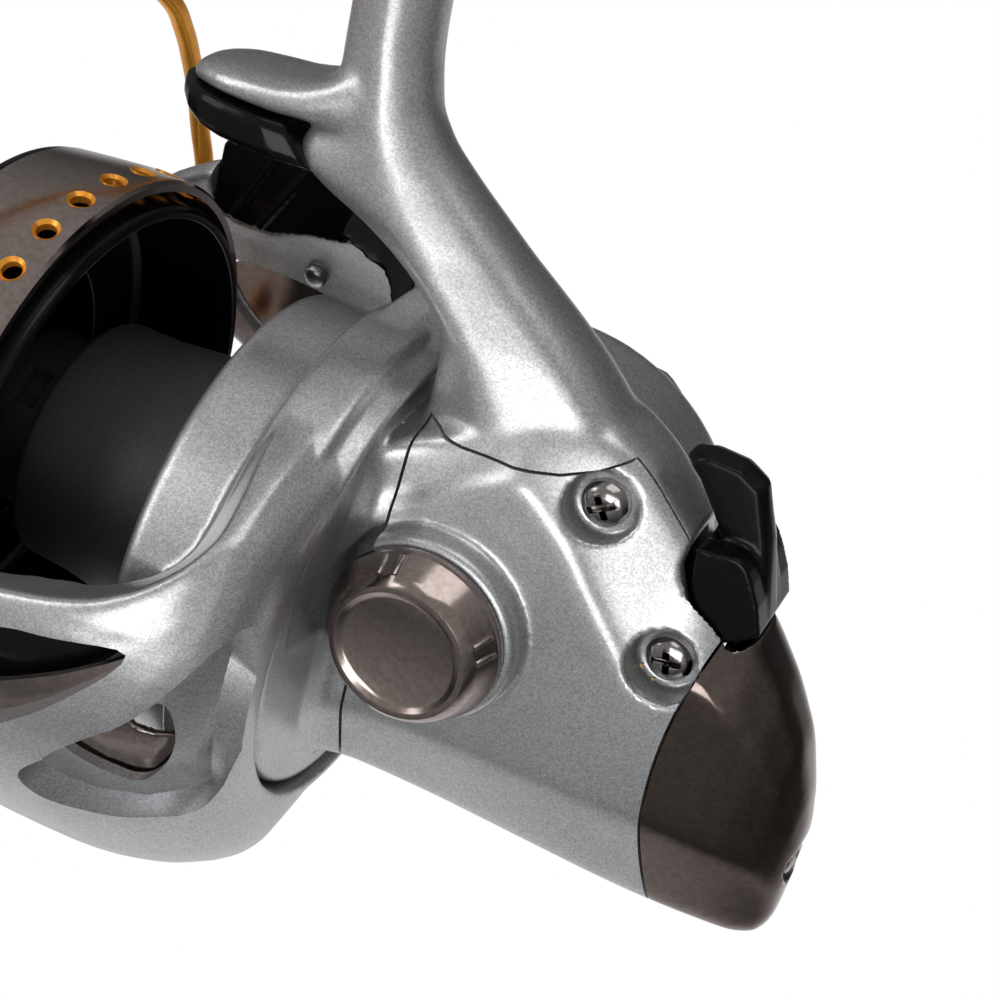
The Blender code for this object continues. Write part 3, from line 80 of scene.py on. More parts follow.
# World: white behind the reel, softer light from above and from the table for everything else
world = bpy.data.worlds.new("studio")
scene.world = world
world.use_nodes = True
nodes, links = world.node_tree.nodes, world.node_tree.links
nodes.clear()
rays = nodes.new("ShaderNodeLightPath")
sky = nodes.new("ShaderNodeTexCoord")


def glow(toward, low, high, dim, bright):
    """Brightness that rises towards one direction."""
    lean = nodes.new("ShaderNodeVectorMath")
    lean.operation = "DOT_PRODUCT"
    lean.inputs[1].default_value = toward
    fade = nodes.new("ShaderNodeMapRange")
    fade.inputs["From Min"].default_value = low
    fade.inputs["From Max"].default_value = high
    fade.inputs["To Min"].default_value = dim
    fade.inputs["To Max"].default_value = bright
    links.new(sky.outputs["Generated"], lean.inputs[0])
    links.new(lean.outputs["Value"], fade.inputs["Value"])
    return fade.outputs[0]


total = nodes.new("ShaderNodeMath")
links.new(glow((0.25, 0.6, 0.75), -0.35, 0.5, 0.06, 0.42), total.inputs[0])
links.new(glow((0.0, -0.5, -0.87), 0.42, 0.8, 0.0, 0.75), total.inputs[1])
soft = nodes.new("ShaderNodeBackground")
white = nodes.new("ShaderNodeBackground")
soft.inputs["Color"].default_value = (1, 1, 1, 1)
white.inputs["Color"].default_value = (1, 1, 1, 1)
pick = nodes.new("ShaderNodeMixShader")
out = nodes.new("ShaderNodeOutputWorld")
links.new(total.outputs[0], soft.inputs["Strength"])
links.new(rays.outputs["Is Camera Ray"], pick.inputs[0])
links.new(soft.outputs[0], pick.inputs[1])
links.new(white.outputs[0], pick.inputs[2])
links.new(pick.outputs[0], out.inputs["Surface"])


def lamp(name, at, aim, size, watts):
    """A soft box."""
    light = bpy.data.lights.new(name, "AREA")
    light.shape = "RECTANGLE"
    light.size, light.size_y = size
    light.energy = watts
    made = bpy.data.objects.new(name, light)
    made.location = at
    made.rotation_euler = (Vector(aim) - Vector(at)).to_track_quat("-Z", "Y").to_euler()
    scene.collection.objects.link(made)


lamp("front_box", (-0.12, 0.62, -0.12), (-0.03, 0, -0.08), (0.34, 0.26), 1.2)
lamp("top_box", (-0.10, 0.10, 0.55), (0, 0, -0.08), (0.5, 0.35), 0.9)
lamp("left_box", (0.45, 0.45, 0.15), (0, 0, -0.08), (0.3, 0.5), 1.3)

# Shared surface effects
PATCHES_PER_M, GRAIN_DEPTH_M, COAT_ROUGHNESS = 60.0, 0.0001, 0.08


def group(name, inputs, outputs):
    """An empty node group with its sockets."""
    made = bpy.data.node_groups.new(name, "ShaderNodeTree")
    for label, kind in inputs:
        made.interface.new_socket(name=label, in_out="INPUT", socket_type="NodeSocket" + kind)
    for label, kind in outputs:
        made.interface.new_socket(name=label, in_out="OUTPUT", socket_type="NodeSocket" + kind)
    return made, made.nodes.new("NodeGroupInput"), made.nodes.new("NodeGroupOutput")


mottle, given, result = group(
    "mottle", [("Vector", "Vector"), ("Scale", "Float"), ("Low", "Float"), ("High", "Float")],
    [("Value", "Float")])
noise = mottle.nodes.new("ShaderNodeTexNoise")
noise.inputs["Detail"].default_value = 4.0
spread = mottle.nodes.new("ShaderNodeMapRange")
spread.inputs["From Min"].default_value = 0.3
spread.inputs["From Max"].default_value = 0.7
mottle.links.new(given.outputs["Vector"], noise.inputs["Vector"])
mottle.links.new(given.outputs["Scale"], noise.inputs["Scale"])
mottle.links.new(noise.outputs[0], spread.inputs["Value"])
mottle.links.new(given.outputs["Low"], spread.inputs["To Min"])
mottle.links.new(given.outputs["High"], spread.inputs["To Max"])
mottle.links.new(spread.outputs[0], result.inputs["Value"])

grain, given, result = group(
    "grain", [("Vector", "Vector"), ("Scale", "Float"), ("Dark", "Color"), ("Light", "Color")],
    [("Color", "Color"), ("Height", "Float")])
cells = grain.nodes.new("ShaderNodeTexVoronoi")
drift = grain.nodes.new("ShaderNodeTexNoise")
drift.inputs["Scale"].default_value = 45.0
part = grain.nodes.new("ShaderNodeSeparateColor")
both = grain.nodes.new("ShaderNodeMath")
both.operation = "MULTIPLY_ADD"
both.inputs[1].default_value = 0.55
blend = grain.nodes.new("ShaderNodeMix")
blend.data_type = "RGBA"
half = grain.nodes.new("ShaderNodeMath")
half.operation = "MULTIPLY"
half.inputs[1].default_value = 0.45
grain.links.new(given.outputs["Vector"], cells.inputs["Vector"])
grain.links.new(given.outputs["Scale"], cells.inputs["Scale"])
grain.links.new(given.outputs["Vector"], drift.inputs["Vector"])
grain.links.new(cells.outputs["Color"], part.inputs[0])
grain.links.new(drift.outputs[0], half.inputs[0])
grain.links.new(part.outputs[0], both.inputs[0])
grain.links.new(half.outputs[0], both.inputs[2])
grain.links.new(both.outputs[0], blend.inputs[0])
grain.links.new(given.outputs["Dark"], blend.inputs[6])
grain.links.new(given.outputs["Light"], blend.inputs[7])
grain.links.new(blend.outputs[2], result.inputs["Color"])
grain.links.new(part.outputs[0], result.inputs["Height"])


def finish_look(name, dark, light, metal, rough, cell, bump, coat=0.0, shine=0.5):
    """A surface with fine grain in its colour and slow patches in its gloss."""
    made = bpy.data.materials.new(name)
    made.use_nodes = True
    tree = made.node_tree
    shader = tree.nodes["Principled BSDF"]
    shader.inputs["Metallic"].default_value = metal
    shader.inputs["Specular IOR Level"].default_value = shine
    shader.inputs["Coat Weight"].default_value = coat
    shader.inputs["Coat Roughness"].default_value = COAT_ROUGHNESS
    spot = tree.nodes.new("ShaderNodeTexCoord")
    fine = tree.nodes.new("ShaderNodeGroup")
    fine.node_tree = grain
    fine.inputs["Scale"].default_value = cell
    fine.inputs["Dark"].default_value = (*dark, 1)
    fine.inputs["Light"].default_value = (*light, 1)
    slow = tree.nodes.new("ShaderNodeGroup")
    slow.node_tree = mottle
    slow.inputs["Scale"].default_value = PATCHES_PER_M
    slow.inputs["Low"].default_value = rough[0]
    slow.inputs["High"].default_value = rough[1]
    press = tree.nodes.new("ShaderNodeBump")
    press.inputs["Strength"].default_value = bump
    press.inputs["Distance"].default_value = GRAIN_DEPTH_M
    tree.links.new(spot.outputs["Object"], fine.inputs["Vector"])
    tree.links.new(spot.outputs["Object"], slow.inputs["Vector"])
    tree.links.new(fine.outputs["Color"], shader.inputs["Base Color"])
    tree.links.new(slow.outputs["Value"], shader.inputs["Roughness"])
    tree.links.new(fine.outputs["Height"], press.inputs["Height"])
    tree.links.new(press.outputs["Normal"], shader.inputs["Normal"])
    return made


LOOKS = {
    "silver_paint": finish_look("silver_paint", (0.27, 0.275, 0.285), (0.70, 0.705, 0.715), 0.8,
                                (0.30, 0.37), 5200, 0.18, 0.12),
    "gunmetal": finish_look("gunmetal", (0.27, 0.215, 0.195), (0.40, 0.335, 0.31), 1.0, (0.12, 0.22), 1500,
                            0.02, 0.3),
    "gloss_black": finish_look("gloss_black", (0.0025, 0.0025, 0.003), (0.005, 0.005, 0.0055), 0.0,
                               (0.16, 0.26), 3000, 0.02, shine=0.18),
    "charcoal": finish_look("charcoal", (0.028, 0.028, 0.029), (0.046, 0.046, 0.047), 0.1, (0.40, 0.52),
                            4200, 0.15, shine=0.3),
    "gold": finish_look("gold", (0.92, 0.34, 0.025), (1.0, 0.46, 0.06), 0.6, (0.26, 0.35), 2600, 0.03),
    "steel": finish_look("steel", (0.48, 0.48, 0.49), (0.62, 0.62, 0.63), 1.0, (0.22, 0.34), 2600, 0.06),
    "dark_steel": finish_look("dark_steel", (0.22, 0.20, 0.20), (0.36, 0.34, 0.33), 1.0, (0.12, 0.22), 2600,
                              0.03),
    "brass": finish_look("brass", (0.55, 0.38, 0.13), (0.72, 0.54, 0.22), 1.0, (0.25, 0.38), 2600, 0.06),
    "drag_fibre": finish_look("drag_fibre", (0.015, 0.015, 0.015), (0.04, 0.04, 0.04), 0.0, (0.6, 0.8),
                              2600, 0.3),
    "grip_rubber": finish_look("grip_rubber", (0.012, 0.012, 0.012), (0.022, 0.022, 0.022), 0.0,
                               (0.5, 0.65), 3600, 0.35),
}
slot_of = {piece["node"]: piece["material_slot"] for piece in frame["record"]["subparts"]}
for name, node in frame["nodes"].items():
    node.data.materials.clear()
    node.data.materials.append(LOOKS[slot_of[name]])

# Modelling helpers: everything is drawn in millimetres about the spool axis
MM = 0.001
BODY = Matrix.Scale(MM, 4) @ Matrix.Translation((6.0, 0.0, -98.0))
SPOOL = BODY
ROTOR = BODY @ Matrix.Rotation(math.radians(-15.0), 4, "X")
BAIL = ROTOR @ Matrix.Translation((38.0, 0.0, 0.0))
CRANK = BODY @ Matrix.Translation((-35.4, 0.0, 6.4))


def settle(name, bm, place):
    """Put a drawn shape in its place as an object."""
    bm.transform(place)
    bmesh.ops.recalc_face_normals(bm, faces=bm.faces)
    mesh = bpy.data.meshes.new(name)
    bm.to_mesh(mesh)
    bm.free()
    made = bpy.data.objects.new(name, mesh)
    scene.collection.objects.link(made)
    return made


def modify(made, kind, **settings):
    """Add one modifier with its settings."""
    step = made.modifiers.new(kind.lower(), kind)
    for label, value in settings.items():
        setattr(step, label, value)


def bake(made):
    """Keep the modified shape as plain mesh."""
    bpy.context.view_layer.update()
    graph = bpy.context.evaluated_depsgraph_get()
    mesh = bpy.data.meshes.new_from_object(made.evaluated_get(graph))
    made.modifiers.clear()
    made.data = mesh
    return made


def cut(made, tool, how="DIFFERENCE", keep=False):
    """Cut, join or trim one shape with another, which is used up unless kept."""
    modify(made, "BOOLEAN", operation=how, solver="MANIFOLD", object=tool)
    bake(made)
    if not keep:
        bpy.data.objects.remove(tool, do_unlink=True)
    return made


def soften(made, voxel, rounds):
    """Fuse a shape into an even skin and relax its edges."""
    modify(made, "REMESH", mode="VOXEL", voxel_size=voxel * MM)
    modify(made, "SMOOTH", factor=0.5, iterations=rounds)
    return bake(made)


def round_edges(made, width, segments=3, angle=30):
    """Break the sharp edges of a machined shape."""
    modify(made, "BEVEL", width=width * MM, segments=segments, limit_method="ANGLE",
           angle_limit=math.radians(angle))
    return bake(made)


def dress(made, body, look, *replaced, crease=None):
    """Give a finished shape its look, its body and the nodes it stands for."""
    made.data.materials.clear()
    made.data.materials.append(LOOKS[look])
    made.data.shade_smooth()
    if crease:
        made.data.set_sharp_from_angle(angle=math.radians(crease))
    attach(made, body)
    if replaced:
        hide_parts(*replaced)
    return made


def turned(name, profile, place, axis="X", steps=96):
    """Turn a closed (along, radius) outline about an axis."""
    bm = bmesh.new()
    spots = [Vector((a, r, 0)) if axis == "X" else Vector((0, a, r)) for a, r in profile]
    verts = [bm.verts.new(p) for p in spots]
    edges = [bm.edges.new(pair) for pair in zip(verts, verts[1:] + verts[:1])]
    turn = Vector((1, 0, 0)) if axis == "X" else Vector((0, 1, 0))
    bmesh.ops.spin(bm, geom=verts + edges, cent=(0, 0, 0), axis=turn, angle=2 * math.pi, steps=steps,
                   use_merge=True)
    bmesh.ops.remove_doubles(bm, verts=bm.verts, dist=0.0005)
    loose = [e for e in bm.edges if not e.link_faces]
    bmesh.ops.delete(bm, geom=loose, context="EDGES")
    return settle(name, bm, place)


def skinned(name, rings, place, cuts=2, smooth=1):
    """Skin a run of rings by extruding each from the last, then round it off."""
    bm = bmesh.new()
    loop = bmesh.ops.create_circle(bm, segments=len(rings[0]), radius=1.0)["verts"]
    count = len(loop)
    for vert, spot in zip(loop, rings[0]):
        vert.co = spot
    bmesh.ops.contextual_create(bm, geom=loop)
    for ring in rings[1:]:
        edges = [bm.edges.get((loop[i], loop[(i + 1) % count])) for i in range(count)]
        made = set(bmesh.ops.extrude_edge_only(bm, edges=edges)["geom"])
        loop = [next(e.other_vert(v) for e in v.link_edges if e.other_vert(v) in made) for v in loop]
        for vert, spot in zip(loop, ring):
            vert.co = spot
    bmesh.ops.holes_fill(bm, edges=[e for e in bm.edges if e.is_boundary])
    if cuts:
        bmesh.ops.subdivide_edges(bm, edges=list(bm.edges), cuts=cuts, use_grid_fill=True)
    made = settle(name, bm, place)
    if smooth:
        modify(made, "SUBSURF", levels=smooth, render_levels=smooth)
        bake(made)
    return made


def slab(name, outline, low, high, place, axis="Y"):
    """Extrude a flat outline between two planes."""
    bm = bmesh.new()
    spot = {"Y": lambda u, v: (u, low, v), "X": lambda u, v: (low, u, v)}[axis]
    verts = [bm.verts.new(spot(u, v)) for u, v in outline]
    edges = [bm.edges.new(pair) for pair in zip(verts, verts[1:] + verts[:1])]
    face = bmesh.ops.edgenet_fill(bm, edges=edges)["faces"]
    moved = bmesh.ops.extrude_face_region(bm, geom=face)["geom"]
    shift = Vector((0, high - low, 0)) if axis == "Y" else Vector((high - low, 0, 0))
    bmesh.ops.translate(bm, vec=shift, verts=[v for v in moved if isinstance(v, bmesh.types.BMVert)])
    return settle(name, bm, place)


def bar(name, radius, start, end, place, sides=48):
    """A round bar between two points."""
    a, b = Vector(start), Vector(end)
    bm = bmesh.new()
    turn = (b - a).to_track_quat("Z", "Y").to_matrix().to_4x4()
    bmesh.ops.create_cone(bm, cap_ends=True, segments=sides, radius1=radius, radius2=radius,
                          depth=(b - a).length, matrix=Matrix.Translation((a + b) / 2) @ turn)
    return settle(name, bm, place)


def between(table, x):
    """Row of a table at x, in a straight line between its rows."""
    rows = sorted(table)
    x = min(max(x, rows[0][0]), rows[-1][0])
    for a, b in zip(rows, rows[1:]):
        if x <= b[0]:
            t = (x - a[0]) / (b[0] - a[0])
            return [x] + [u + (v - u) * t for u, v in zip(a[1:], b[1:])]


# Casing, with the room that walls, seams and the lever's slot take
WALL, SEAM, SPARE, SLOT_HALF = 2.6, 0.2, 1.4, 6.9
HULL_VOXEL, FRAME_VOXEL, COVER_VOXEL = 0.75, 0.62, 0.42
# x, near side, far side, top, side top, side bottom, bottom, top half width, keel half width
CASING = [
    (-19.0, 26.0, 27.0, 27.0, 15.0, -14.0, -27.3, 14.0, 12.0),
    (-22.6, 17.0, 20.0, 28.0, 17.0, -13.5, -26.9, 13.0, 9.5),
    (-24.0, 13.0, 16.0, 29.0, 18.5, -13.0, -26.7, 12.0, 8.1),
    (-28.0, 12.1, 14.0, 31.0, 20.5, -12.3, -26.3, 10.6, 7.3),
    (-34.0, 11.7, 13.0, 34.0, 25.0, -11.5, -26.3, 9.5, 6.8),
    (-42.0, 11.5, 12.0, 38.0, 30.5, -11.0, -26.3, 8.0, 6.5),
    (-50.0, 11.5, 12.0, 39.5, 24.5, -10.5, -26.3, 6.5, 6.5),
    (-56.0, 11.5, 12.0, 36.5, 17.5, -10.0, -26.3, 6.0, 6.5),
    (-64.0, 11.5, 12.0, 29.5, 9.0, -9.5, -26.3, 5.8, 6.5),
    (-70.0, 11.2, 11.2, 24.0, 14.0, -9.0, -26.3, 5.5, 6.3),
    (-76.0, 10.3, 10.2, 18.5, 11.5, -9.5, -26.3, 5.0, 5.8),
    (-81.0, 8.9, 8.8, 13.0, 6.0, -10.5, -26.3, 4.4, 5.1),
    (-85.5, 6.9, 6.8, 6.5, 0.0, -12.0, -26.3, 3.6, 4.3),
    (-88.5, 4.9, 4.8, -1.0, -6.0, -14.5, -25.5, 2.6, 3.3),
    (-90.1, 2.9, 2.8, -7.5, -10.0, -16.5, -22.8, 1.6, 1.9)]


def casing(name, inset, first, last):
    """The gear casing's skin between two planes, drawn in by inset."""
    rings = []
    for x in [first] + [row[0] for row in CASING if last < row[0] < first] + [last]:
        _, near, far, top, side_top, side_low, low, top_half, keel = between(CASING, x)
        near, far, top, low = near - inset, far - inset, top - inset, low + inset
        top_half, keel = max(top_half - inset * 0.6, 0.8), max(keel - inset * 0.6, 0.8)
        half = [(top_half * 0.55, top), (top_half, top - 0.8), (near - 0.9, side_top + 1.6),
                (near, side_top), (near, side_low), (near - 0.5, side_low - 2.2), (keel + 0.4, low + 1.6),
                (keel - 1.4, low)]
        other = [(-(y - near + far) if y > keel + 1.0 and y > top_half + 0.1 else -y, z)
                 for y, z in reversed(half)]
        rings.append([(x, y, z) for y, z in half + other])
    return skinned(name, rings, BODY, 2, 1)


def rear_edge(z):
    """The bowed line where the tail cover meets the casing."""
    return -69.3 - 3.6 * ((z - 1.0) / 23.0) ** 2


def tail_mask(shift):
    """Everything behind the bowed line."""
    line = [(rear_edge(z) + shift, z) for z in range(-34, 43, 1)]
    return slab("tail_mask", [(-120, -34)] + line + [(-120, 42)], -60, 60, BODY)


def seam_mask(grow):
    """The side cover's share of the casing."""
    line = [(-26.6 + grow, -40), (-26.6 + grow, 31.2 + grow), (-33, 31.0 + grow), (-40, 31.6 + grow),
            (-46, 32.8 + grow), (-50, 34.6 + grow), (-53.5, 37.0 + grow), (-56, 46), (-84, 46), (-84, -40)]
    return slab("seam_mask", line, 5.0 - grow, 60, BODY)


# z, front, crease, rear, half thickness
STEM = [(26.0, -24.6, -40.0, -58.0, 9.6), (34.0, -24.8, -35.0, -54.5, 9.4),
        (40.0, -24.6, -31.6, -49.5, 9.0), (44.0, -21.9, -27.8, -45.0, 8.6),
        (47.5, -17.7, -23.8, -40.3, 8.1), (50.0, -13.4, -21.0, -36.6, 7.8), (52.0, -9.0, -19.0, -33.6, 7.5),
        (53.4, -4.5, -18.0, -31.6, 7.4), (56.0, 0.8, -15.8, -28.1, 7.1), (59.0, 0.2, -13.5, -24.0, 6.8),
        (63.0, -3.0, -11.2, -19.0, 6.5), (67.0, -2.8, -10.0, -16.0, 6.2), (74.0, -2.4, -9.0, -14.4, 6.0),
        (84.0, -2.0, -8.4, -13.8, 6.0), (92.5, 0.0, -7.5, -14.5, 6.3)]
stem_rings = []
for z, front, crease, rear, half in STEM:
    side = [(front, half * 0.36), (front - 1.4, half * 0.62), (crease, half), (rear + 2.6, half * 0.72),
            (rear + 0.5, half * 0.42), (rear, half * 0.2)]
    stem_rings.append([(x, y, z) for x, y in side + [(x, -y) for x, y in reversed(side)]])

# x, half width, underside
FOOT = [(-47.0, 3.4, 95.4), (-43.0, 6.0, 95.1), (-31.0, 7.5, 94.2), (-20.0, 7.5, 91.5), (6.0, 7.5, 91.5),
        (19.0, 7.5, 94.2), (31.0, 6.0, 95.1), (35.0, 3.4, 95.4)]
foot_rings = []
for x, half, low in FOOT:
    side = [(half - 0.4, 98.0), (half, 97.6), (half, 98.0 - (98.0 - low) * 0.45), (half * 0.62, low)]
    foot_rings.append([(x, y, z) for y, z in side + [(-y, z) for y, z in reversed(side)]])

# x, half width, top, underside
NOSE = [(-9.0, 5.4, 70.5, 62.6), (-4.5, 6.0, 68.8, 62.0), (-1.0, 6.5, 66.6, 61.4), (3.0, 6.7, 65.3, 61.0),
        (8.0, 6.7, 64.6, 60.8), (12.0, 6.1, 64.1, 60.6), (15.0, 4.7, 63.3, 60.4), (16.8, 2.9, 62.3, 60.4)]
nose_rings = []
for x, half, top, low in NOSE:
    side = [(half * 0.5, top), (half * 0.9, top - 0.5), (half, (top + low) / 2), (half * 0.93, low)]
    nose_rings.append([(x, y, z) for y, z in side + [(-y, z) for y, z in reversed(side)]])

hull = casing("hull", 0.0, -21.3, -90.1)
cut(hull, skinned("stem", stem_rings, BODY, 2, 1), "UNION")
cut(hull, skinned("foot", foot_rings, BODY, 1, 0), "UNION")
cut(hull, skinned("nose", nose_rings, BODY, 2, 1), "UNION")
cut(hull, turned("bulge", [(-28, 0), (-28, 27), (-27.4, 28), (-26.4, 28.5), (-6, 28.5), (-6, 0)], CRANK,
                 "Y"), "UNION")
soften(hull, HULL_VOXEL, 6)

sweep = turned("sweep", [(-24.4, 31.72), (-19.6, 31.72), (-19.6, 24.02), (-17.6, 22.02), (60, 22.02),
                         (60, 52.2), (-4, 51.8), (-10, 50.6), (-15, 48.6), (-19, 46.2), (-22, 43.2),
                         (-24.4, 41.6)], BODY)


def like(made, name):
    """A second copy of a shape."""
    twin = bpy.data.objects.new(name, made.data.copy())
    scene.collection.objects.link(twin)
    return twin


# Frame casting: the hull without the covers' shares, with its flange, rooms and hollow
casting = like(hull, "frame_casting")
cut(casting, turned("flange", [(-22.6, 0), (-22.6, 30.9), (-21.8, 31.7), (-19.6, 31.7), (-19.6, 24),
                               (-17.6, 22), (-7.5, 22), (-6, 20.5), (-6, 0)], BODY), "UNION")
cut(casting, casing("hollow", WALL, -31.0, -76.0))
cut(casting, turned("gear_room", [(-13.5, 0), (-13.5, 18.5), (5, 18.5), (5, 0)], CRANK, "Y"))
cut(casting, turned("boss_room", [(8.2, 0), (8.2, 13.8), (26, 13.8), (26, 0)], CRANK, "Y"))
cut(casting, turned("pinion_room", [(-33, 0), (-33, 5.1), (-17.3, 5.1), (-17.3, 8.3), (-12.8, 8.3),
                                    (-12.8, 12.3), (2, 12.3), (2, 0)], BODY))
cut(casting, turned("crank_room", [(-30, 0), (-30, 8.3), (-23.7, 8.3), (-23.7, 3.85), (-10, 3.85),
                                   (-10, 0)], CRANK, "Y"))
SLOT = [(-63.4, 46), (-63.4, 26), (-65.2, 22.2), (-67.8, 18.6), (-69.5, 16.9), (-72.0, 17.7), (-76.0, 19.2),
        (-78.5, 20.0), (-78.5, 46)]
cut(casting, slab("lever_slot", SLOT, -SLOT_HALF, SLOT_HALF, BODY))
cut(casting, sweep)
soften(casting, FRAME_VOXEL, 3)
cut(casting, seam_mask(SEAM))
cut(casting, tail_mask(SEAM))
dress(casting, "body", "silver_paint", "body_frame", crease=35)

# Side cover with its boss and screw recesses
TOP_SCREW, LOW_SCREW, TAIL_SCREW_Z = (-52.0, 30.5), (-66.0, 13.5), -12.0
RECESS_FLOOR, RECESS_R, RECESS_BOSS_R = 6.5, 4.7, 6.1
HEAD_R, HEAD_HEIGHT, HEAD_GAP = 3.2, 2.15, 0.05
cover = like(hull, "side_cover_shell")
cut(cover, seam_mask(SPARE), "INTERSECT")
cut(cover, tail_mask(-SPARE))
cut(cover, casing("cover_hollow", WALL, -31.0, -76.0))
cut(cover, turned("boss", [(8.5, 0), (8.5, 13.4), (14.9, 13.4), (15.5, 12.8), (15.5, 0)], CRANK, "Y"),
    "UNION")
cut(cover, turned("boss_bore", [(0, 0), (0, 8.3), (18, 8.3), (18, 0)], CRANK, "Y"))
for x, z in (TOP_SCREW, LOW_SCREW):
    recess_boss = bar("recess_boss", RECESS_BOSS_R, (x, 5.25, z), (x, 12.5, z), BODY)
    cut(recess_boss, hull, "INTERSECT", keep=True)
    cut(cover, recess_boss, "UNION")
    cut(cover, bar("recess", RECESS_R, (x, RECESS_FLOOR, z), (x, 20, z), BODY))
cut(cover, slab("lever_slot", SLOT, -SLOT_HALF, SLOT_HALF, BODY))
soften(cover, COVER_VOXEL, 3)
cut(cover, seam_mask(-SEAM), "INTERSECT")
cut(cover, tail_mask(SEAM))
dress(cover, "body", "silver_paint", "side_cover", crease=35)

# Tail cover
tail = like(hull, "tail_cover_shell")
bpy.data.objects.remove(hull, do_unlink=True)
cut(tail, tail_mask(SPARE), "INTERSECT")
cut(tail, casing("tail_hollow", WALL, -60.0, -86.7))
cut(tail, bar("tail_recess", 3.6, (-95, 0, TAIL_SCREW_Z), (-87.6, 0, TAIL_SCREW_Z), BODY))
cut(tail, slab("lever_slot", SLOT, -SLOT_HALF, SLOT_HALF, BODY))
soften(tail, COVER_VOXEL, 3)
cut(tail, tail_mask(-SEAM), "INTERSECT")
dress(tail, "body", "gunmetal", "rear_cover", crease=35)
# The tail cover gets a darker copy of the same gunmetal finish: painted shade, so the tail reads darker
# than the cap and skirt
tail.data.materials[0] = finish_look("gunmetal_tail_painted_shade", (0.12, 0.09, 0.08), (0.19, 0.15, 0.135), 1.0,
                                     (0.12, 0.22), 1500, 0.02, 0.3)

# Rotor
ARM_CUT, ROTOR_VOXEL, KEPT_FACES, WEB_ROUNDS = (37.5, 60), 0.42, 0.46, 20
# along the arm, outer skin and inner skin
ARM_OUT = [(-24, 43.2), (-19, 44.8), (-15, 47.2), (-10, 49.1), (-4, 50.3), (8, 51.0), (20, 50.8),
           (38, 49.6), (46.5, 48.0)]
ARM_IN = [(-20.6, 33.6), (-18.5, 38.4), (-14, 41.8), (-8, 43.9), (2, 45.4), (20, 45.6), (38, 45.0),
          (46.5, 44.4)]
# angle off the arm's middle, front end, ridge radius, foot of the front wall, share that is hollow
FAN = [(0, 46.5, 99, 0, 1), (7, 45, 99, 0, 1), (13, 38.5, 99, 0, 1), (18, 30, 99, 0, 1),
       (22, 21.5, 99, 0, 1), (25, 13, 99, -1, 0.95), (27, 7, 50.6, -2, 0.7), (28.6, 1.5, 50.2, -7.5, 0.57),
       (31, -4.5, 49.7, -6, 0.12), (35, -10, 48.7, -8, 0), (40, -13.9, 47.3, -9.3, 0),
       (46, -16.2, 45.3, -9.6, 0), (53, -15.6, 42.4, -9.8, 0), (61, -14.2, 39.6, -9.9, 0),
       (70, -12.9, 37.1, -10, 0), (80, -12.4, 36.0, -10, 0)]
# the same on the arm's trailing side, which runs wider to the front
FAN_WIDE = [(0, 46.5, 99, 0, 1), (7, 45.5, 99, 0, 1), (13, 41, 99, 0, 1), (18, 36, 99, 0, 1),
            (21, 33, 99, 0, 1), (23, 28, 99, 0, 1), (24.3, 20, 99, 0, 1),
            (25.3, 13, 50.8, -1, 0.95)] + FAN[6:]


def arm(name, way):
    """One rotor arm, fanned about the spool axis."""
    rings = []
    for angle, front, ridge, foot, hollow in [(-a, *rest) for a, *rest in reversed(FAN_WIDE)] + FAN[1:]:
        grow = min(1.0, 1.6 * max(ridge - 36.5, 0) / 14.1)
        rear = -22.9 - 0.75 * grow
        line = [(rear + dx, min(36.5 - tuck + grow * rise * 14.1, ridge)) for dx, tuck, rise in
                ((0, 3.5, 0), (0.05, 3.2, 0.277), (0.9, 2.9, 0.497), (2.7, 2.1, 0.624), (4.8, 0.7, 0.646))]
        start = line[-1][0]
        for share in (0.1, 0.25, 0.45, 0.7, 1.0):
            x = start + (front - start) * share
            line.append((x, min(36.1 + grow * (between(ARM_OUT, x)[1] - 36.1), ridge)))
        spots = [front, 2 + (front - 2) * 0.5, 2, -8, -14, -18.5, -20.6]
        solid = [(foot, 32.6), (foot - 1.2, 32.3), (-13, 32.2), (-15, 32.2), (-17, 32.3), (-19, 32.5),
                 (-21.2, 32.9)]
        for x, (sx, sr) in zip(spots, solid):
            x = min(x, front)
            line.append((sx + hollow * (x - sx), sr + hollow * (between(ARM_IN, x)[1] - sr)))
        turn = math.radians(angle)
        rings.append([(x, way * r * math.cos(turn), way * r * math.sin(turn)) for x, r in line])
    return skinned(name, rings, ROTOR, 1, 1)


def eased(points, cuts=5):
    """A closed outline drawn smoothly through its points."""
    line = []
    for i in range(len(points)):
        a, b, c, d = (Vector(points[(i + k) % len(points)]) for k in (-1, 0, 1, 2))
        for k in range(cuts):
            t = k / cuts
            line.append(0.5 * (2 * b + (c - a) * t + (2 * a - 5 * b + 4 * c - d) * t ** 2
                               + (3 * b - a - 3 * c + d) * t ** 3))
    return [tuple(p) for p in line]


# along the far arm, lower edge of its black cover and edge of the arm
COVER_EDGE = [(8.0, 19.5, 27.0), (15.0, 16.5, 25.2), (22.0, 11.5, 24.2), (28.0, 11.0, 23.0),
              (30.5, 12.0, 22.2), (32.0, 14.0, 21.2)]


def on_far(x, radius, turn):
    """A point on the far arm, turned up from its middle."""
    return (x, -radius * math.cos(math.radians(turn)), radius * math.sin(math.radians(turn)))


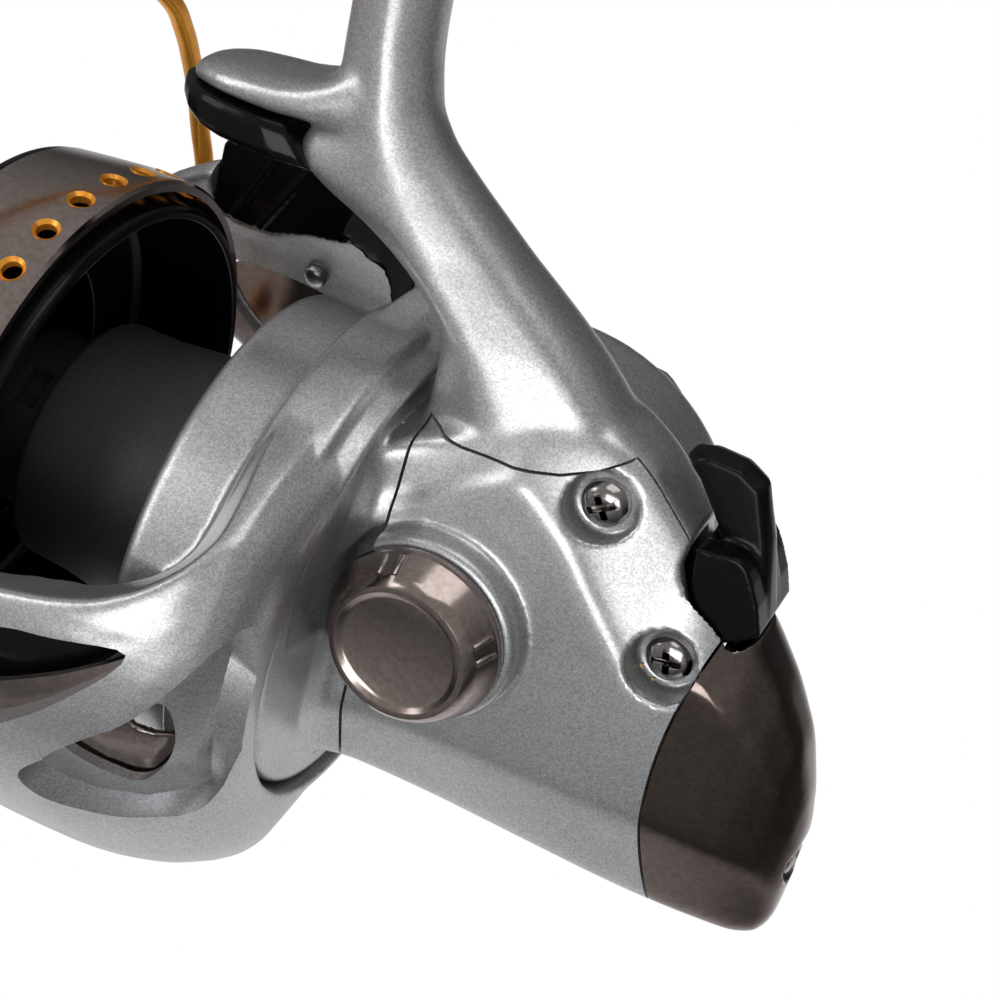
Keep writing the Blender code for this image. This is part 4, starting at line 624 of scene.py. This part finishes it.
WINDOW = eased([(-11.5, 20.8), (-0.3, 20.0), (5.2, 18.8), (16, 15.5), (26, 10.5), (31, 5), (30.5, 1.5),
                (26, -0.5), (14, -0.8), (8, 0.8), (3.5, 4.2), (-4.2, 11.6)])
POCKET = eased([(-23.0, 23.0), (-14.4, 13.0), (-3.5, 1.6), (0.6, -4.2), (-1.0, -7.4), (-5.8, -8.0),
                (-16, -6.5), (-23.0, -2.0)])
POCKET_HOLE = eased([(-2.8, 0.2), (-9.0, 8.0), (-14.6, 11.0), (-16.6, 6.0), (-16.2, 1.0), (-14.2, -2.8),
                     (-12.0, -4.0), (-9.4, -3.2)])
rotor = turned("rotor_casting", [(0, 4.1), (0, 31.5), (-0.5, 32.5), (-1.5, 33), (-10, 33), (-11.0, 33.2),
                                 (-11.3, 34.4), (-11.5, 36.0), (-11.9, 36.4), (-12.6, 36.5), (-19.3, 36.4),
                                 (-19.9, 36.0), (-20.3, 34.9), (-23.2, 34.0), (-23.5, 33.6),
                                 (-23.5, 32.6), (-19, 32.0), (-6, 30.4), (-4, 29), (-4, 4.1)],
               ROTOR, steps=144)
for way in (1, -1):
    cut(rotor, arm("arm", way), "UNION")
    cut(rotor, bar("bail_bore", 2.5, (38, 30 * way, 0), (38, 60 * way, 0), ROTOR))
chamfer_rings = []
for x, low_turn, edge in COVER_EDGE:
    chamfer_rings.append([on_far(x, 45.7, low_turn - 0.3), on_far(x, 52.4, edge + 3.0),
                          on_far(x, 52.4, edge + 22), on_far(x, 36, edge + 22),
                          on_far(x, 36, low_turn - 1)])
cut(rotor, skinned("chamfer", chamfer_rings, ROTOR, 0, 0))
soften(rotor, ROTOR_VOXEL, 4)
for way in (1, -1):
    low, high = sorted((ARM_CUT[0] * way, ARM_CUT[1] * way))
    pocket = slab("pocket", [(x, z * way) for x, z in POCKET], low - 4, high + 4, ROTOR)
    cut(pocket, turned("pocket_room", [(-26, 35.6), (-20, 37.6), (-18.5, 39.8), (-14, 43.2), (-8, 45.2),
                                       (4, 46.8), (4, 62), (-26, 62)],
                       ROTOR, steps=144), "INTERSECT")
    cut(rotor, pocket)
    cut(rotor, slab("pocket_hole", [(x, z * way) for x, z in POCKET_HOLE], low, high, ROTOR))
    cut(rotor, slab("window", [(x, z * way) for x, z in WINDOW], low, high, ROTOR))
modify(rotor, "DECIMATE", ratio=KEPT_FACES)
bake(rotor)
dress(rotor, "rotor", "silver_paint", "rotor", crease=35)
rotor.data.materials.append(LOOKS["gloss_black"])


def on_web(face):
    """Whether a face lies on the web at the far arm's upper edge."""
    spot = ROTOR.inverted() @ face.calc_center_median()
    turn = math.degrees(math.atan2(spot.z, -spot.y))
    return -8.5 < spot.x < 9 and 22.3 - 0.35 * spot.x < turn < 40 and math.hypot(spot.y, spot.z) < 49


# The web is black, and its thin edge is relaxed further
bm = bmesh.new()
bm.from_mesh(rotor.data)
web = [face for face in bm.faces if on_web(face)]
spots = list(dict.fromkeys(vert for face in web for vert in face.verts))
for _ in range(WEB_ROUNDS):
    bmesh.ops.smooth_vert(bm, verts=spots, factor=0.5, use_axis_x=True, use_axis_y=True, use_axis_z=True)
for face in web:
    face.material_index = 1
bm.to_mesh(rotor.data)
bm.free()

# Drum and the grooved neck in front of it
drum = turned("drum", [(0.3, 20), (11.5, 19), (18, 18.1), (24.5, 17.9), (25.5, 17.1), (25.5, 9.8),
                       (23.5, 9.8), (23.5, 15.9), (0.3, 18)],
              ROTOR, steps=128)
dress(round_edges(drum, 0.3), "rotor", "charcoal", "rotor_drum", crease=40)
neck = turned("neck", [(25.8, 3.5), (25.8, 12.8), (34.7, 12.8), (35.5, 12), (35.5, 3.5)], ROTOR, steps=96)
for turn in (66, 246):
    swing = ROTOR @ Matrix.Rotation(math.radians(turn), 4, "X")
    cut(neck, slab("notch", [(28.4, -2.9), (31.8, -2.9), (31.8, 2.9), (28.4, 2.9)], 10.2, 16, swing))
dress(round_edges(neck, 0.25), "rotor", "charcoal", "nut_cover", crease=40)

# Spool: skirt with gold-edged drillings, black liner and arbor, front lip
HOLES, HOLE_X = 32, 28.2
drills, rims = bmesh.new(), bmesh.new()
for i in range(HOLES):
    swing = (Matrix.Rotation(2 * math.pi * (i + 0.28) / HOLES, 4, "X")
             @ Matrix.Translation((HOLE_X, 0, 39.2)))
    bmesh.ops.create_cone(drills, cap_ends=True, segments=32, radius1=1.95, radius2=1.95, depth=8,
                          matrix=swing)
    verts = [rims.verts.new(p) for p in ((1.93, 0, 0.02), (1.4, 0, -0.42), (1.4, 0, -1.5), (1.93, 0, -1.5))]
    edges = [rims.edges.new(pair) for pair in zip(verts, verts[1:] + verts[:1])]
    bmesh.ops.spin(rims, geom=verts + edges, cent=(0, 0, 0), axis=(0, 0, 1), angle=2 * math.pi, steps=32,
                   use_merge=True)
    bmesh.ops.transform(rims, matrix=swing, verts=[v for v in rims.verts if not v.tag])
    for vert in rims.verts:
        vert.tag = True
skirt = turned("skirt", [(24.3, 37.7), (24.3, 38.8), (24.8, 39.2), (30.8, 39.1), (37.5, 38.2), (41.5, 37.6),
                         (41.5, 36.4), (32.3, 36.4), (31.3, 37.7)], SPOOL, steps=160)
cut(skirt, settle("drills", drills, SPOOL))
dress(skirt, "spool", "gunmetal", "spool_skirt", crease=32)
bmesh.ops.remove_doubles(rims, verts=rims.verts, dist=0.0005)
dress(settle("drill_rims", rims, SPOOL), "spool", "gold", crease=30)
liner = turned("spool_core", [(70, 2.85), (70, 16.5), (78, 16.5), (78, 33), (75, 33.2), (73.6, 31.5),
                              (73, 26.5), (44.4, 28.5), (44, 35.6), (43, 37.2), (41.8, 37.4), (41.8, 36.1),
                              (22.9, 36.1), (22.3, 35.6), (22.3, 34.4), (38.8, 34.4),
                              (39.8, 33.1), (39.8, 23), (55, 21.5), (55.5, 15), (66.5, 14.5), (66.5, 2.85)],
               SPOOL, steps=160)
dress(round_edges(liner, 0.3), "spool", "gloss_black", "spool_body", crease=40)
lip = turned("lip", [(78.3, 19.5), (78.3, 34.7), (79.2, 35.5), (80.6, 34.9), (81.2, 32.5), (80.2, 19.5)],
             SPOOL, steps=144)
dress(round_edges(lip, 0.3), "spool", "silver_paint", "spool_lip", crease=40)
knob = turned("drag_dial", [(78, 2.85), (78, 9), (79.2, 9), (79.2, 17), (79.8, 17.5), (84.2, 17.5),
                            (86.2, 15.5), (87.2, 12.5), (87.6, 0), (84.8, 0), (84.8, 2.85)],
              SPOOL, steps=144)
cut(knob, slab("wing", [(-13.5, -2.6), (13.5, -2.6), (14.5, 0), (13.5, 2.6), (-13.5, 2.6), (-14.5, 0)],
               85.5, 92.2, SPOOL, "X"), "UNION")
dress(round_edges(knob, 0.4), "drag", "gunmetal", "drag_knob", crease=40)

# Bail: wire, pivot plates and roller
path = [(0.9, -51.9, 7.5), (0.9, -51.9, 9.7), (2.0, -52.2, 16.0), (2.4, -51.7, 23.1), (2.7, -50.6, 29.2),
        (3.0, -48.9, 35.6), (3.7, -46.4, 41.7), (6.5, -41.5, 47.8), (12, -31, 54), (16.6, -16, 58.5),
        (18, 3, 60), (15, 22, 56), (10, 36, 47), (5, 46, 36), (1.8, 50.9, 27), (1, 51.9, 20.6)]
line = bpy.data.curves.new("bail_line", "CURVE")
line.dimensions = "3D"
line.bevel_depth = 1.5
line.bevel_resolution = 6
line.use_fill_caps = True
line.resolution_u = 10
spline = line.splines.new("BEZIER")
spline.bezier_points.add(len(path) - 1)
for spot, at in zip(spline.bezier_points, path):
    spot.co = at
    spot.handle_left_type = spot.handle_right_type = "AUTO"
draft = bpy.data.objects.new("bail_draft", line)
scene.collection.objects.link(draft)
bpy.context.view_layer.update()
wire_mesh = bpy.data.meshes.new_from_object(draft.evaluated_get(bpy.context.evaluated_depsgraph_get()))
bpy.data.objects.remove(draft, do_unlink=True)
bm = bmesh.new()
bm.from_mesh(wire_mesh)
bmesh.ops.remove_doubles(bm, verts=bm.verts, dist=0.001)
dress(settle("bail_loop", bm, BAIL), "bail", "gold", "bail_wire", crease=60)
plate_line = [(6.5 * math.cos(math.radians(a)), 6.5 * math.sin(math.radians(a)))
              for a in range(150, 391, 6)]
for name, way, top in (("near", 1, 20.0), ("far", -1, 7.2)):
    low, high = sorted((50.4 * way, 53.4 * way))
    tab = slab("bail_tab_" + name, plate_line + [(4.6, top - 2), (4.2, top - 0.7), (3.2, top), (-1.5, top),
                                                 (-2.6, top - 0.7), (-3.0, top - 2)], low, high, BAIL)
    cut(tab, bar("tab_hole", 2.5, (0, 40 * way, 0), (0, 60 * way, 0), BAIL))
    if way > 0:
        cut(tab, bar("roller_post", 1.6, (2, 47.0, 17), (2, 51.4, 17), BAIL), "UNION")
    dress(round_edges(tab, 0.5), "bail", "silver_paint", "bail_arm_" + name, crease=40)
roller = turned("roller", [(45.1, 1.95), (45.1, 4.6), (46.2, 4.0), (47.6, 3.7), (49.0, 4.0), (50.1, 4.6),
                           (50.1, 1.95)],
                BAIL @ Matrix.Translation((2, 0, 17)), "Y", 64)
dress(round_edges(roller, 0.25), "roller", "gold", "line_roller", crease=40)


def screw_head(name, body, place, base, radius, height, *replaced, turn=35):
    """A domed cross-head whose axis is the local Y axis; base is the seat, height may be negative."""
    made = turned(name, [(base, 0), (base, radius), (base + height * 0.45, radius),
                         (base + height * 0.8, radius * 0.84), (base + height, radius * 0.5),
                         (base + height, 0)], place, "Y", 64)
    for extra in (0, 90):
        swing = place @ Matrix.Rotation(math.radians(turn + extra), 4, "Y")
        w, h = radius * 0.15, radius * 0.62
        low, high = sorted((base + height * 0.35, base + height * 1.6))
        cut(made, slab("cross", [(-h, -w), (h, -w), (h, w), (-h, w)], low, high, swing))
    return dress(round_edges(made, 0.12, 2), body, "dark_steel", *replaced, crease=40)


for name, (x, z), turn in (("top", TOP_SCREW, 35), ("low", LOW_SCREW, 15)):
    screw_head("cover_screw_head_" + name, "body", BODY @ Matrix.Translation((x, 0, z)),
               RECESS_FLOOR + HEAD_GAP, HEAD_R, HEAD_HEIGHT, "cover_screw_" + name, turn=turn)
tail_place = BODY @ Matrix.Translation((0, 0, TAIL_SCREW_Z)) @ Matrix.Rotation(math.radians(90), 4, "Z")
screw_head("tail_screw_head", "body", tail_place, 87.6 + HEAD_GAP, HEAD_R, HEAD_HEIGHT, "rear_cover_screw")
for name, way in (("near", 1), ("far", -1)):
    screw_head("bail_screw_" + name, "rotor", BAIL, 53.7 * way, 4.5, 1.5 * way, "bail_pivot_screw_" + name)

# Arm panels, linings and rivets
PLATE = [(-13.0, 21.2), (-9.1, 18.0), (-2.9, 13.3), (5.2, 7.9), (14, 5.0), (24, 4.4), (33, 4.4), (33, -4),
         (8, -4), (0, 3), (-13, 16)]
PANEL = [(10 + (x - 10) * 0.94, 8 + (z - 8) * 0.9) for x, z in WINDOW]
LINING_NEAR = [(-10.5, 20.4), (-9.5, 17), (-4, 10.6), (2, 5.0), (8, 0.4), (26, -1.2), (32, 1.5), (29, 8.6),
               (18, 14.4), (2, 19.0)]
POCKET_BACK = eased([(0.0, 0.0), (-8.6, 5.6), (-12.0, 4.4), (-17.4, 3.2), (-17.6, -1.0), (-14.4, -5.0),
                     (-11.0, -6.4), (-5.0, -5.0)])
LINING_SKIN = [(-12, 40.6), (-12, 42.2), (-4, 44.2), (2, 44.9), (34, 44.9), (34, 42.8), (2, 42.8),
               (-4, 42.2)]
BACK_SKIN = [(-20, 36.0), (-18.5, 37.9), (-14, 41.3), (-8, 43.4), (0, 44.6), (0, 43.6), (-8, 42.4),
             (-14, 40.3), (-18.5, 36.9)]
COVER_RIBS = [((28.5, 45.0, 12.0), (22.5, 50.8, 26.6)), ((24.0, 45.0, 12.0), (16.0, 50.8, 27.4))]
SHEET_SKIN = [(x, 46.8) for x in range(-14, 35, 2)] + [(x, 47.6) for x in range(34, -15, -2)]
for name, way, panel in (("near", 1, PLATE), ("far", -1, PANEL)):
    low, high = sorted((30 * way, 60 * way))
    sheet = turned("arm_sheet_" + name, SHEET_SKIN, ROTOR, steps=160)
    cut(sheet, slab("share", [(x, z * way) for x, z in panel], low, high, ROTOR), "INTERSECT")
    dress(sheet, "rotor", "gunmetal", "arm_plate_" + name, crease=40)
    back_panel = turned("pocket_back_" + name, BACK_SKIN, ROTOR, steps=160)
    cut(back_panel, slab("share", [(x, z * way) for x, z in POCKET_BACK], low, high, ROTOR), "INTERSECT")
    soften(back_panel, 0.3, 1)
    dress(back_panel, "rotor", "gunmetal")
    rivet = turned("rivet_" + name, [(43.6 * way, 0), (43.6 * way, 0.8), (43.9 * way, 1.6),
                                     (44.4 * way, 2.0), (44.8 * way, 2.0), (44.8 * way, 0)],
                   ROTOR @ Matrix.Translation((14.0, 0, -4.0 * way)), "Y", 48)
    dress(rivet, "rotor", "steel", "arm_rivet_" + name, crease=40)
shell = turned("arm_shell_near", LINING_SKIN, ROTOR, steps=160)
cut(shell, slab("share", LINING_NEAR, 30, 60, ROTOR), "INTERSECT")
soften(shell, 0.35, 2)
dress(shell, "rotor", "gloss_black", "arm_lining_near")
cover_rings = []
for x, low_turn, edge in COVER_EDGE:
    cover_rings.append([on_far(x, 44.7, low_turn), on_far(x, 51.0, edge + 3.4), on_far(x, 51.0, edge + 1.6),
                        on_far(x, 46.8, low_turn - 0.4)])
arm_cover = skinned("arm_shell_far", cover_rings, ROTOR, 0, 0)
for start, end in COVER_RIBS:
    cut(arm_cover, bar("rib", 0.7, on_far(*start), on_far(*end), ROTOR, 24), "UNION")
soften(arm_cover, 0.35, 8)
dress(arm_cover, "rotor", "gloss_black", "arm_lining_far")

# Side cap with its two pairs of grip ribs
cap = turned("cap", [(15.8, 8.6), (15.8, 12.2), (17.3, 12.2), (17.8, 11.9), (20.6, 10.7), (21.5, 10.1),
                     (21.9, 9.5), (21.9, 8.7), (21.5, 8.1), (21.3, 7.6), (21.2, 0), (18.9, 0),
                     (18.5, 8)], CRANK, "Y", 128)
for middle in (66, 157):
    for off in (-6, 6):
        c, s = math.cos(math.radians(middle + off)), math.sin(math.radians(middle + off))
        cut(cap, bar("rib", 0.5, (11.75 * c, 17.6, 11.75 * s), (10.55 * c, 20.7, 10.55 * s), CRANK, 16),
            "UNION")
dress(round_edges(cap, 0.2, 2), "body", "gunmetal", "side_cap", crease=40)

# Insert under the finger rest
insert_rings = []
for x, half, rise, lean in [(-2.6, 5.6, 0.0, 4.2), (2.0, 6.7, 0.0, 2.4), (6.0, 6.9, 0.0, 0.8),
                            (10.0, 6.8, 0.0, 0.0), (13.0, 6.2, 0.3, 0.0), (15.4, 5.0, 0.9, 0.0),
                            (17.2, 3.2, 1.7, 0.0), (18.1, 1.6, 2.4, 0.0)]:
    side = [(half - 0.5, 60.3), (half, 59.4), (half - 0.1, 56.4 + rise), (half - 1.0, 55.3 + rise)]
    insert_rings.append([(x + lean * (v - 55.3) / 5.0, u, v)
                         for u, v in side + [(-u, v) for u, v in reversed(side)]])
insert = skinned("rest_insert", insert_rings, BODY, 2, 0)
soften(insert, 0.35, 4)
dress(insert, "body", "gloss_black", "nose_insert")

# Lever: a thin hook with a ridge, spreading into a saddle below
foot_line = [(-75.6, 21.4), (-73, 19.3), (-71, 18), (-69.2, 17.8), (-67.4, 20.5), (-65.3, 24.5),
             (-64.7, 27.5)]
saddle = [(-64.5, 29.6), (-67.0, 29.9), (-67.6, 30.1), (-68.4, 30.3), (-69.2, 30.5), (-70.0, 30.4),
          (-70.8, 30.0), (-71.6, 29.2), (-72.6, 27.8), (-74.2, 25.0)] + foot_line
blade = [(-64.4, 28.4), (-66.8, 28.2), (-67.3, 29.0), (-61.6, 36.2), (-59.9, 37.6), (-60.4, 38.8),
         (-61.6, 39.4), (-65.8, 39.4), (-68.6, 38.0), (-71.8, 31.5)] + foot_line
ridge = [(-64.4, 28.4), (-66.6, 27.6), (-66.9, 28.4), (-60.4, 36.2), (-58.5, 37.8), (-59.2, 39.4),
         (-60.6, 39.8), (-65.6, 40.0), (-69.3, 38.5), (-72.3, 31.5)] + foot_line
lever_rings = [[(x, y, z) for x, z in line]
               for y, line in ((6.5, saddle), (2.7, saddle), (2.3, blade), (0.6, ridge), (-0.6, ridge),
                               (-2.3, blade), (-2.7, saddle), (-6.5, saddle))]
lever = skinned("lever_blade", lever_rings, BODY, 0, 0)
soften(lever, 0.32, 3)
dress(lever, "lever", "gloss_black", "anti_reverse_lever")

# Handle
shank = turned("shank", [(-28.3, 0), (-28.3, 10.5), (-30.5, 10.5), (-31.4, 9.6), (-33, 7.3), (-36, 6.8),
                         (-54.7, 5.8), (-54.7, 0)], CRANK, "Y", 96)
dress(round_edges(shank, 0.4), "crank", "silver_paint", "handle_shank", crease=40)
CRANK_TURN, GRIP_REACH = math.radians(184), 82.0
away = Vector((math.sin(CRANK_TURN), 0, math.cos(CRANK_TURN)))
across = Vector((away.z, 0, -away.x))
crank_rings = []
for along, half, out in [(-9.0, 5.0, 0.0), (-6.0, 8.6, 0.0), (0.0, 9.6, 0.0), (12.0, 8.4, 0.0),
                         (30.0, 6.4, 2.25), (50.0, 5.6, 5.4), (66.0, 5.8, 9.0), (82.0, 7.2, 9.0),
                         (87.0, 5.6, 9.0), (89.0, 3.0, 9.0)]:
    middle = away * along - Vector((0, 60.0 + out, 0))
    ring = []
    for u, v in ((0.8, 5), (-0.8, 5), (-1, 4), (-1, 1), (-0.8, 0), (0.8, 0), (1, 1), (1, 4)):
        ring.append(middle + across * half * u + Vector((0, v, 0)))
    crank_rings.append(ring)
crank = skinned("crank_arm", crank_rings, CRANK, 2, 1)
dress(crank, "crank", "silver_paint", "handle_arm", crease=60)
GRIP = CRANK @ Matrix.Translation(away * GRIP_REACH)
grip = turned("grip", [(-72.2, 3.35), (-72.2, 8), (-73, 9), (-75.2, 9.5), (-78, 9.2), (-81.2, 9),
                       (-84, 9.7), (-86.2, 11), (-90, 13.8), (-94.2, 15.05), (-98, 15.45), (-101.2, 15.05),
                       (-104.5, 14.1), (-106.8, 12), (-109, 9), (-110.2, 7), (-110.2, 3.35)], GRIP, "Y", 96)
dress(round_edges(grip, 0.3, 2, 40), "grip", "grip_rubber", "handle_knob", crease=50)
grip_cap = turned("grip_cap", [(-110.5, 0), (-110.5, 6.5), (-111.7, 6), (-112.3, 4.5), (-112.6, 3),
                               (-112.6, 0)], GRIP, "Y", 72)
dress(round_edges(grip_cap, 0.2, 2), "grip", "gunmetal", "knob_cap", crease=40)

low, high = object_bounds()
